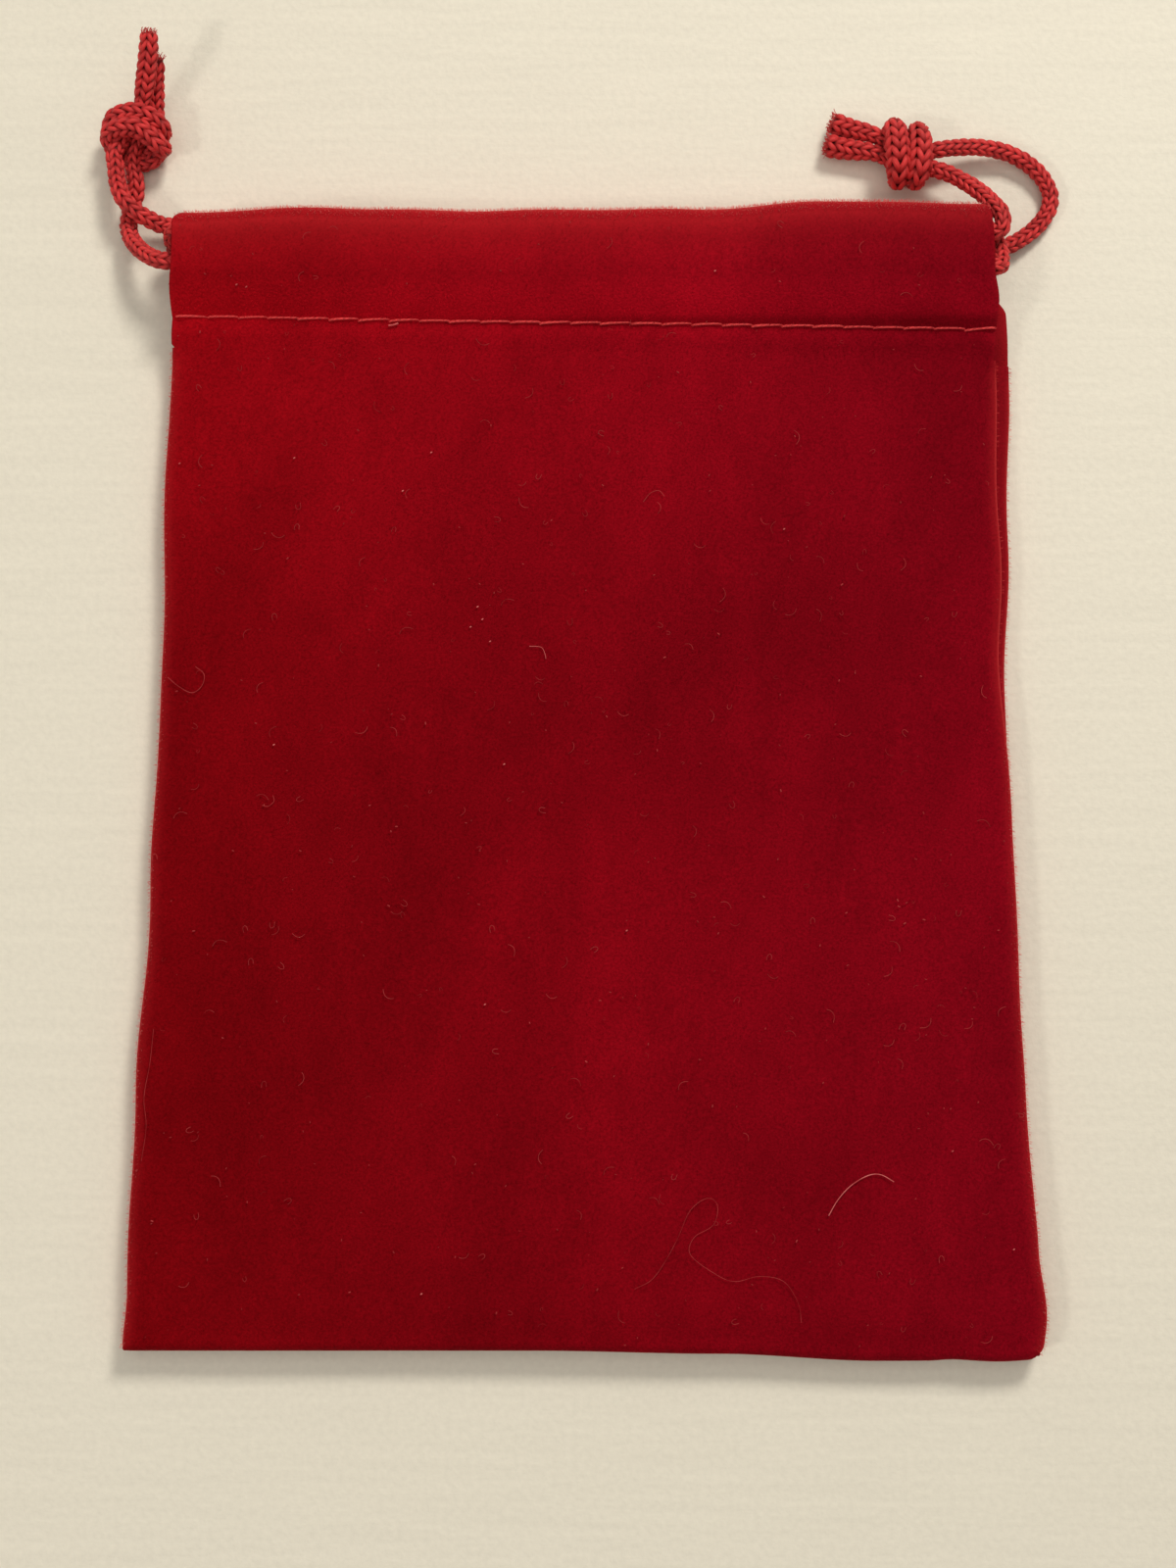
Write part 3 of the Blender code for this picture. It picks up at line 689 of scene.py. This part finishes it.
def column_list():
    left = [("flap", 1.0), ("flap", 0.1)] + [("fold", 1 - step / FOLD_STEPS) for step in range(FOLD_STEPS)]
    steps = CLOSE_STEPS + list(range(3, COLUMNS - 2)) + [COLUMNS - step for step in reversed(CLOSE_STEPS)]
    return ([(kind, value, -1) for kind, value in left]
            + [("sheet", 2 * step / COLUMNS - 1, 0) for step in steps]
            + [(kind, value, 1) for kind, value in reversed(left)])


def casing_place(share, across):
    """y of a hem row: close together where the casing swells."""
    start = stitch_line(across)
    if share < 0.5:
        return start + CASING_RISE * share * 2
    return start + mix(CASING_RISE, hem_top(across) - CASING_REACH - start, share * 2 - 1)


def sheet_place(front, row, across):
    """Place of a point of the panel between its two side edges."""
    kind, value = row
    inwards = -1 if front else 1
    proud = 0.0 if front else BACK_PROUD
    if kind == "bottom_flap":
        depth = value * ALLOWANCE
        y = bottom_line(across) + depth
        x = across_at(across, y, front) * (1 - (depth + MITRE_GAP) / HALF_BASE)
        return Vector((x, y, outer_height(front, across, y) + inwards * 2 * FOLD_RADIUS))
    if kind == "bottom_fold":
        angle = value * pi
        edge = bottom_line(across)
        x = across_at(across, edge, front) * (1 - max(0.0, 2 * value - 1) * MITRE_GAP / HALF_BASE)
        x += 0.9 * sin(angle) * FOLD_REACH * copysign(max(0.0, (abs(across) - 0.965) / 0.035) ** 2, across)
        height = outer_height(front, across, edge) + inwards * FOLD_RADIUS * (1 - cos(angle))
        return Vector((x, edge - FOLD_RADIUS * sin(angle), height))
    if kind in ("body", "below_stitch"):
        top = stitch_line(across) - CLEAR_OF_STITCH * 1.8
        y = mix(bottom_line(across), top, value) if kind == "body" else stitch_line(across) - value
        return Vector((across_at(across, y, front), y, outer_height(front, across, y)))
    if kind == "hem":
        y = casing_place(value, across)
        return Vector((across_at(across, y, front), y + proud * value, outer_height(front, across, y)))
    inside = 1 - CASING_INSET / (BASE_WIDTH / 2)
    if kind == "top_fold":
        angle = value * pi
        y = hem_top(across) - CASING_REACH
        rise = CASING_RADIUS * sin(angle)
        outer = outer_height(front, across, y)
        middle = (inner_height(front, y - stitch_line(across)) + outer) / 2
        height = middle + (outer - middle) * cos(angle)
        x = across_at(across, y + rise * (value < 0.5), front) * mix(1, inside, smooth_step(value))
        return Vector((x, y + proud + rise, height))
    y = casing_place(value, across) if kind == "hem_inside" else stitch_line(across) - value
    proud = proud * value if kind == "hem_inside" else 0.0
    height = inner_height(front, y - stitch_line(across))
    return Vector((across_at(across, y, front) * inside, y + proud, height))


def turned_place(front, row, column):
    """Place of a point on the allowance turned in along a side."""
    kind, value, side = column
    inwards = -1 if front else 1
    edge = sheet_place(front, row, side)
    slope = 1 - (row[1] if row[0] == "body" else 1.0)
    if kind == "fold":
        angle = value * pi
        reach = FOLD_RADIUS * fold_share(edge.y - stitch_line(side)) * sin(angle)
        near = max(0.0, 1 - (edge.y - bottom_line(side)) / (1.6 * MM))
        corner = 0.9 * sin(angle) * FOLD_REACH * near ** 2
        return Vector((edge.x + side * reach, edge.y + MITRE_GAP * max(0.0, 2 * value - 1) * slope - corner,
                       edge.z + inwards * FOLD_RADIUS * (1 - cos(angle))))
    depth = value * ALLOWANCE
    y = edge.y + (depth + MITRE_GAP) * slope
    height = outer_height(front, side * (1 - depth / HALF_BASE), y) + inwards * 2 * FOLD_RADIUS
    return Vector((edge.x - side * depth, y, height))


def rounded_corner(place):
    """A place near a bottom corner moved in, so the turned corner is round."""
    side = copysign(1, place.x)
    radius = BOTTOM_CORNER_RADIUS[side]
    middle_x = abs(side_line(side, bottom_line(side), False)) + FOLD_RADIUS - radius
    middle_y = bottom_line(side) - FOLD_RADIUS + radius
    out, down = (abs(place.x) - middle_x) / radius, (middle_y - place.y) / radius
    if out <= 0 or down <= 0:
        return place
    share = max(out, down) / hypot(out, down)
    return Vector((side * (middle_x + out * share * radius), middle_y - down * share * radius, place.z))


def folded_sheet(name, front):
    """The cut sheet moved to where folding takes it, with where its nap shows and where painted sheen
    lightens its edges, folds and top band.
    """
    rows, columns = row_list(), column_list()
    sheet = bmesh.new()
    bmesh.ops.create_grid(sheet, x_segments=len(columns) - 1, y_segments=len(rows) - 1, size=1.0)
    sheet.verts.ensure_lookup_table()
    nap = sheet.verts.layers.float.new("nap")
    painted_sheen = sheet.verts.layers.float.new("painted_sheen")
    missing = []
    off_table = 0.0 if front else 0.42
    for vertex in sheet.verts:
        row = rows[vertex.index // len(columns)]
        column = columns[vertex.index % len(columns)]
        if column[0] == "sheet":
            across = column[1]
            vertex.co = sheet_place(front, row, across)
            shows = (row[0] in ("body", "below_stitch", "hem")) * front
            edge = BASE_WIDTH / 2 * (1 - abs(across))
            from_top = max(hem_top(across) - CASING_REACH - vertex.co.y, 0.0)
            # Painted sheen: paler along the panel's edges and in a band below the top fold, stronger at the
            # left.
            at_edge = 0.3 * exp(-edge / (0.4 * MM)) if front else 0.8 * exp(-edge / (1.5 * MM))
            at_top = mix(0.95, 0.65, (across + 1) / 2) * exp(-from_top / (1.6 * MM))
            vertex[painted_sheen] = max(at_edge, at_top)
            if row[0] == "top_fold":
                shows = EDGE_NAP * (off_table <= row[1] <= 0.6)
                # Painted highlight along the rounded top fold.
                vertex[painted_sheen] = 0.5 + 1.5 * sin(pi * row[1]) ** 3
        elif row[0] == "body" or row[0] == "below_stitch" and row[1] >= CLEAR_OF_STITCH:
            vertex.co = turned_place(front, row, column)
            folded = column[0] == "fold"
            over_cloth = (front and column[2] > 0
                          and along(SEAM_SHOWS, (vertex.co.y - BOTTOM) / LENGTH) > 0.4 * MM)
            shows = (1.0 if over_cloth else EDGE_NAP) * (folded and off_table <= column[1] <= 0.7)
            # Painted sheen on the turned edges, strongest along the rounded side folds.
            vertex[painted_sheen] = 0.3 + 1.5 * sin(pi * column[1]) ** 3 * folded
        else:
            missing.append(vertex)
            continue
        vertex[nap] = shows
        vertex.co = rounded_corner(vertex.co)
    bmesh.ops.delete(sheet, geom=missing, context="VERTS")
    bmesh.ops.recalc_face_normals(sheet, faces=sheet.faces)
    sheet.faces.ensure_lookup_table()
    middle = sheet.faces[len(sheet.faces) * 3 // 8]
    if (middle.normal.z > 0) != front:
        bmesh.ops.reverse_faces(sheet, faces=sheet.faces)
    mesh = bpy.data.meshes.new(name)
    sheet.to_mesh(mesh)
    sheet.free()
    mesh.shade_smooth()
    return mesh


def pile_group():
    """Upright fibres scattered over the nap side of a panel."""
    tree, inputs = geometry_group("velvet_pile", Float="Density, Length, Width, Lift", Vector="Lean",
                                  Int="Seed")
    spread = sown(tree, inputs, times(tree, named(tree, "nap"), inputs["Density"]))
    stray = random_vector(tree, (-0.55, -0.55, -0.2), (0.55, 0.55, 0.2), 5)
    aim = vector(tree, "ADD", vector(tree, "ADD", stray, inputs["Lean"]), spread["Normal"])
    raised = moved(tree, spread["Points"], Offset=scaled(tree, spread["Normal"], inputs["Lift"]))
    fibre = output(tree, "GeometryNodeMeshCone",
                   {"Vertices": 3, "Side Segments": 1, "Radius Top": 0.0, "Radius Bottom": inputs["Width"],
                    "Depth": inputs["Length"]}, fill_type="NONE")
    fibres = copies(tree, raised, fibre, turned_to(tree, aim, "Z"), random_number(tree, 0.55, 1.15, 9))
    return finish_group(tree, fibres)


def stretched(tree, place, scale):
    return output(tree, "ShaderNodeMapping", {"Vector": place, "Scale": scale})


def ranged(tree, value, low, high, at_low=0.0, at_high=1.0):
    """From at_low to at_high as the value goes from low to high, and no further."""
    return output(tree, "ShaderNodeMapRange", {0: value, 1: low, 2: high, 3: at_low, 4: at_high})


def blended(tree, share, color_a, color_b):
    return node(tree, "ShaderNodeMix", {"Factor": share, 6: color_a, 7: color_b},
                data_type="RGBA").outputs[2]


def nap_color_group():
    """The colour of the velvet from place: redder left, darker in soft patches, paler on edges and folds as
    painted sheen, and lighter as painted light towards the upper left, across the middle and beside the
    stitch line.
    """
    tree = bpy.data.node_groups.new("nap_color", "ShaderNodeTree")
    for label, way, kind in (("Painted Sheen", "INPUT", "Float"), ("Color", "OUTPUT", "Color"),
                             ("Grain", "OUTPUT", "Float")):
        tree.interface.new_socket(label, in_out=way, socket_type="NodeSocket" + kind)
    painted_sheen = node(tree, "NodeGroupInput").outputs["Painted Sheen"]
    place = object_place(tree)
    x, y, z = separated(tree, place)
    side = ranged(tree, x, -45 * MM, 45 * MM)
    base = blended(tree, side, (0.200, 0.0016, 0.0040, 1.0), (0.182, 0.0016, 0.0070, 1.0))
    drawn = stretched(tree, place, (1.0, 0.6, 1.0))
    grain = noise(tree, place, 4000.0, 3.0, 0.7)
    patches = ranged(tree, noise(tree, drawn, 38.0, 5.0, 0.6), 0.3, 0.7, 0.78, 1.20)
    blotches = ranged(tree, noise(tree, drawn, 210.0, 5.0, 0.65, 0.6), 0.3, 0.7, 0.90, 1.10)
    # Painted light: the upper part is lighter, most at the left.
    brush_streaks_and_hem_light = ranged(tree, side, 0.0, 1.0, 1.46, 1.07)
    hem = ranged(tree, y, 15 * MM, 52 * MM, 1.0, brush_streaks_and_hem_light)
    # Painted light: lighter across the middle.
    from_middle = calc(tree, "ABSOLUTE", calc(tree, "SUBTRACT", side, 0.5))
    middle = ranged(tree, from_middle, 0.0, 0.4, 1.10, 1.0)
    # Painted light on the front: lighter on the slope above the stitch line and a little below it.
    stitch_side_light = output(tree, "ShaderNodeMix",
                     {"Factor": ranged(tree, y, 45.9 * MM, 46.6 * MM),
                      2: ranged(tree, y, 43.2 * MM, 45.0 * MM, 0.0, 0.20),
                      3: ranged(tree, y, 46.4 * MM, 50.1 * MM, 0.86, 0.0)})
    stitch_side_light = plus(tree, times(tree, stitch_side_light, ranged(tree, z, 3.4 * MM, 3.8 * MM)), 1.0)
    light = times(tree, times(tree, patches, blotches), times(tree, hem, middle))
    light = times(tree, times(tree, light, ranged(tree, grain, 0.3, 0.7, 0.72, 1.28)), stitch_side_light)
    # Painted sheen: paler red on the edges and folds, then a pale painted highlight along the rounded
    # folds.
    sheen_lightened = blended(tree, times(tree, painted_sheen, 0.55), scaled(tree, base, light), (0.52, 0.020, 0.024, 1.0))
    rimmed = blended(tree, ranged(tree, painted_sheen, 0.9, 1.8, 0.0, 0.55), sheen_lightened, (0.66, 0.085, 0.080, 1.0))
    node(tree, "NodeGroupOutput", {"Color": rimmed, "Grain": grain})
    return tree


def velvet_material(name, nap_color, sheen, light_gain, halo):
    material, tree = new_material(name)
    color = node(tree, "ShaderNodeGroup", {"Painted Sheen": attribute(tree, "painted_sheen")}, node_tree=nap_color).outputs
    # Painted light: fibres on the edges and folds turn pale pink, as if lit through.
    at_edge = ranged(tree, attribute(tree, "nap"), 1.1, EDGE_NAP, 0.0, halo)
    lit_edge_fibres = blended(tree, at_edge, scaled(tree, color["Color"], light_gain), (0.85, 0.22, 0.20, 1.0))
    return finish_material(material, lit_edge_fibres, (color["Grain"], 0.6, 0.2 * MM),
                           Roughness=0.9, Specular_IOR_Level=0.08, Specular_Tint=(1.0, 0.10, 0.12, 1.0),
                           Sheen_Weight=sheen, Sheen_Roughness=0.35, Sheen_Tint=(1.0, 0.03, 0.05, 1.0))


nap_color = nap_color_group()
velvet = velvet_material("velvet", nap_color, 0.35, 1.0, 0.0)
# The pile fibres use a lighter copy of the velvet colour as painted light on their tips, with the pale
# painted glow at the edges.
nap_fibre = velvet_material("velvet_nap", nap_color, 0.2, 1.25, 0.8)
pile = pile_group()
for name, front in (("front_panel_velvet", True), ("back_panel_velvet", False)):
    mesh = folded_sheet(name, front)
    mesh.materials.append(velvet)
    panel = put_in_scene(name, mesh)
    cloth = panel.modifiers.new("cloth", "SOLIDIFY")
    cloth.thickness, cloth.offset = CLOTH, 0.0
    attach(panel, "root")
    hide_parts("front_panel" if front else "back_panel")
    fuzz = made_piece(name.replace("velvet", "nap"), mesh.copy(), pile,
                      {"Density": PILE_DENSITY, "Length": 0.34 * MM, "Width": 0.030 * MM, "Seed": 4,
                       "Lift": CLOTH / 2 + 0.08 * MM, "Lean": (0.0, -0.30, 0.0), "Material": nap_fibre})
    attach(fuzz, "root")


# Each casing is closed by one row of lockstitches in polyester thread, just under the cords.
# A stitch is about 3 mm long, lies on the pile and dips into the cloth at both ends.
STITCH_THICKNESS = 0.27 * MM
SEAM_TONE = (0.50, 0.055, 0.050)


def stitch_row_group():
    tree, inputs = geometry_group("stitch_row", Float="Pitch, Thickness, Dip", Int="Count, Seed")
    places = node(tree, "GeometryNodeCurveToPoints",
                  {"Curve": incoming_curve(tree, inputs), "Count": inputs["Count"]}, mode="COUNT").outputs
    reach = times(tree, inputs["Pitch"], 0.515)
    ends = [combined(tree, times(tree, reach, share), times(tree, reach, 0.045 * share),
                     times(tree, inputs["Dip"], height))
            for share, height in ((-1.0, -1.0), (-0.96, 0.75), (0.96, 0.75), (1.0, -1.0))]
    lengthwise = marked(tree, bent_line(tree, 12, *ends), "yarn_along")
    ring = circle(tree, 8, calc(tree, "DIVIDE", inputs["Thickness"], 2.0))
    stitch = swept(tree, lengthwise, marked(tree, ring, "yarn_around"))
    size = random_vector(tree, (0.93, 0.9, 0.8), (1.03, 1.1, 1.1), inputs["Seed"])
    stitches = copies(tree, places["Points"], stitch, turned_to(tree, places["Tangent"], "X"), size)
    skew = random_vector(tree, (0.0, 0.0, -0.035), (0.0, 0.0, 0.035), 4)
    turned = output(tree, "GeometryNodeRotateInstances", {"Instances": stitches, "Rotation": skew})
    return finish_group(tree, shaded_smooth(tree, turned))


def thread_material(name, plies, tone):
    """Twisted polyester thread; plain where a solid has no thread direction to follow."""
    material, tree = new_material(name)
    fuzz = noise(tree, object_place(tree), 5000.0, 2.0)
    # The thread's colour follows this shade value: lighter on the crowns of its plies as painted shade,
    # with random tone from the noise.
    shade = plus(tree, times(tree, strands(tree, plies, 42.0), 0.16), fuzz)
    return finish_material(material, scaled(tree, tone, ranged(tree, shade, 0.25, 0.8, 0.62, 1.25)),
                           (shade, 0.5, 0.04 * MM), Roughness=0.5, Specular_IOR_Level=0.15)


hem_thread = thread_material("hem_thread", 3, (0.80, 0.062, 0.064))
stitch_rows = stitch_row_group()
for name, front in (("front_hem_stitches", True), ("back_hem_stitches", False)):
    row = []
    for step in range(5 * STITCHES + 1):
        across = mix(ROW_START, ROW_END, (0.5 + (STITCHES - 1) * step / (5 * STITCHES)) / STITCHES)
        y = stitch_line(across)
        height = outer_height(front, across, y) + (1 if front else -1) * (CLOTH / 2 + 0.10 * MM)
        row.append(Vector((across_at(across, y, front), y, height, 1.0)))
    pitch = (row[-1] - row[0]).length / (STITCHES - 1)
    stitches = made_piece(name, edge_mesh(name + "_line", [row]), stitch_rows,
                          {"Count": STITCHES, "Pitch": pitch, "Thickness": STITCH_THICKNESS,
                           "Dip": (0.22 if front else -0.22) * MM, "Seed": 6, "Material": hem_thread})
    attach(stitches, "root")
    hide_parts("front_hem_thread" if front else "back_hem_thread")
seam = bpy.data.objects["seam_thread"]
seam.material_slots[0].material = thread_material("seam_thread_fibre", 0, SEAM_TONE)


# Lint has settled on the front's pile: pale specks, short curled fibres and a few long hairs.
# The ones that show from a step away are laid where they lie, the faint ones are scattered.
LINT_LIFT = 0.30 * MM
LINT_FIBRES = {
    "bright": [
        (0.050, [(24.1, -45.8), (25.0, -44.3), (26.3, -42.9), (28.0, -41.9), (29.3, -41.8), (30.6, -42.5)]),
        (0.030, [(-5.7, 11.5), (-4.5, 11.4), (-4.1, 10.7), (-4.0, 10.2)]),
        (0.10, [(-20.5, 45.6), (-20.0, 45.68), (-19.5, 45.82)])],
    "faint": [
        (0.030, [(6.0, 26.7), (6.7, 27.6), (7.6, 27.9), (8.2, 27.3)]),
        (0.035, [(-42.7, 8.4), (-41.5, 7.4), (-40.1, 6.7), (-39.1, 7.4), (-38.9, 8.6), (-39.8, 9.4)]),
        (0.030, [(-32.7, -4.9), (-32.1, -5.0), (-31.5, -4.5), (-31.6, -3.9)]),
        (0.028, [(-43.2, -27.4), (-43.5, -30.9), (-44.0, -34.2), (-43.7, -37.1), (-44.1, -40.5)]),
        (0.024, [(4.9, -52.9), (6.6, -52.0), (8.0, -50.1), (9.2, -47.9), (10.4, -45.3), (12.1, -44.1),
                 (13.1, -44.8), (12.7, -46.7), (10.8, -47.9), (10.4, -49.6), (12.9, -51.5), (14.8, -52.2),
                 (17.2, -51.7), (19.6, -52.2), (21.0, -54.3), (21.3, -56.2)])]}
SPECK = [(-0.11, -0.05, 0.04), (0.0, 0.0, 0.09), (0.09, 0.06, 0.04)]
LINT_SPECKS = [(-10.0, -25.0), (-18.8, 27.8), (-30.1, 31.4), (-42.0, 30.9), (13.4, 50.2), (-35.0, 48.8),
               (36.5, -39.5), (42.4, -49.1), (-36.0, 49.0), (-15.9, 31.9), (20.5, 23.8), (-16.1, -53.4),
               (4.2, -17.6), (-31.6, 1.3), (-11.0, 15.6), (-10.5, 14.3), (-11.7, 13.5), (-9.7, 12.0),
               (-8.2, -0.7)]


def on_pile(x, y, girth):
    """A place on top of the front panel's pile, from millimetres across and up the pouch."""
    left, right = side_line(-1, y * MM, True), side_line(1, y * MM, True)
    across = 2 * (x * MM - left) / (right - left) - 1
    return Vector((x * MM, y * MM, outer_height(True, across, y * MM) + CLOTH / 2 + LINT_LIFT, girth))


def laid_lint_group():
    """Thin fibres along given lines."""
    tree, inputs = geometry_group("laid_lint", Float="Thickness")
    profile = circle(tree, 5, inputs["Thickness"])
    laid = swept(tree, incoming_curve(tree, inputs), profile, True, named(tree, "girth"))
    return finish_group(tree, laid)


def scattered_lint_group():
    """Short bent fibres and specks scattered over the front."""
    tree, inputs = geometry_group("scattered_lint", Float="Density, Lift", Int="Seed")
    level = separated(tree, output(tree, "GeometryNodeInputNormal"))[2]
    shown = times(tree, calc(tree, "GREATER_THAN", level, 0.8),
                  calc(tree, "GREATER_THAN", named(tree, "nap"), 0.9))
    spots = sown(tree, inputs, times(tree, shown, inputs["Density"]))["Points"]
    raised = moved(tree, spots, Offset=combined(tree, 0.0, 0.0, inputs["Lift"]))
    shapes = []
    for girth, *line in (
            (1.0, (-0.5, 0.0, 0.0), (-0.2, 0.35, 0.0), (0.2, 0.30, 0.1), (0.5, -0.1, 0.0)),
            (1.0, (-0.3, 0.0, 0.0), (0.1, 0.5, 0.0), (0.5, 0.1, 0.2), (0.0, -0.2, 0.0)),
            (2.2, (-0.08, 0.0, 0.0), (-0.03, 0.0, 0.03), (0.03, 0.0, 0.03), (0.08, 0.02, 0.0)),
            (1.8, (-0.06, 0.0, 0.0), (-0.03, 0.02, 0.03), (0.03, 0.0, 0.03), (0.06, 0.02, 0.0))):
        fibre = swept(tree, bent_line(tree, 5, *line), circle(tree, 4, 0.022 * girth), True)
        shapes.append(output(tree, "GeometryNodeGeometryToInstance", {"Geometry": fibre}))
    heading = random_vector(tree, (0.0, 0.0, 0.0), (0.0, 0.0, 2 * pi), 3)
    size = times(tree, MM, random_number(tree, 0.5, 1.5, 2))
    return finish_group(tree, copies(tree, raised, joined(tree, *shapes), heading, size, True))


def lint_material(name, pale, dull):
    material, tree = new_material(name)
    share = ranged(tree, noise(tree, object_place(tree), 600.0, 2.0), 0.35, 0.65)
    return finish_material(material, blended(tree, share, dull, pale), None,
                           Roughness=0.7, Specular_IOR_Level=0.15)


laid_lint = laid_lint_group()
bright_lint = lint_material("lint_pale", (0.74, 0.18, 0.17, 1.0), (0.50, 0.060, 0.062, 1.0))
faint_lint = lint_material("lint_dull", (0.44, 0.045, 0.045, 1.0), (0.26, 0.010, 0.012, 1.0))
for kind, substance in (("bright", bright_lint), ("faint", faint_lint)):
    lines = [smooth_route([on_pile(x, y, girth) for x, y in places], 5)
             for girth, places in LINT_FIBRES[kind]]
    if kind == "bright":
        lines += [[on_pile(x + right, y + up, girth) for right, up, girth in SPECK] for x, y in LINT_SPECKS]
    piece = made_piece("lint_" + kind, edge_mesh("lint_lines", lines), laid_lint,
                       {"Thickness": MM, "Material": substance})
    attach(piece, "root")
front_mesh = bpy.data.objects["front_panel_velvet"].data.copy()
dust = made_piece("lint_scattered", front_mesh, scattered_lint_group(),
                  {"Density": 6.0e4, "Lift": CLOTH / 2 + LINT_LIFT, "Seed": 12, "Material": faint_lint})
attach(dust, "root")


# The table is a pale painted board. The light is a soft lamp from the upper right, a weaker
# one from the lower left and a pale ceiling. None of it is part of the pouch.
HALF_FLOOR = 0.6


def floor_material():
    material, tree = new_material("painted_board")
    place = object_place(tree)
    brush_streaks_and_hem_light = noise(tree, stretched(tree, place, (60.0, 900.0, 1.0)), 1.0, 4.0)
    uneven = plus(tree, times(tree, brush_streaks_and_hem_light, 0.4), times(tree, noise(tree, place, 1500.0, 3.0), 0.6))
    paint = scaled(tree, (0.79, 0.745, 0.625), ranged(tree, uneven, 0.35, 0.65, 0.96, 1.035))
    return finish_material(material, paint, (uneven, 0.20, 0.4 * MM), Roughness=0.6)


floor_mesh = bpy.data.meshes.new("floor")
corners = [(x * HALF_FLOOR, y * HALF_FLOOR, 0) for x, y in ((-1, -1), (1, -1), (1, 1), (-1, 1))]
floor_mesh.from_pydata(corners, [], [(0, 1, 2, 3)])
floor_mesh.materials.append(floor_material())
floor = put_in_scene("floor", floor_mesh)
floor.location.z = -0.1 * MM

for name, place, size, power, color in (
        ("upper_right", (0.26, 0.52, 0.60), 0.20, 4.0, (1.0, 0.96, 0.89)),
        ("lower_left", (-0.48, -0.27, 0.60), 0.10, 1.05, (1.0, 0.96, 0.90)),
        ("ceiling", (0.0, 0.0, 0.85), 0.80, 1.7, (1.0, 0.96, 0.90))):
    lamp = bpy.data.lights.new(name, "AREA")
    lamp.size, lamp.energy, lamp.color = size, power, color
    light = put_in_scene(name, lamp)
    light.location = place
    light.rotation_euler = (-Vector(place)).to_track_quat("-Z", "Y").to_euler()
world = bpy.data.worlds.new("room")
world.use_nodes = True
background = world.node_tree.nodes["Background"].inputs
background["Color"].default_value = (1.0, 0.96, 0.90, 1.0)
background["Strength"].default_value = 0.26
scene.world = world
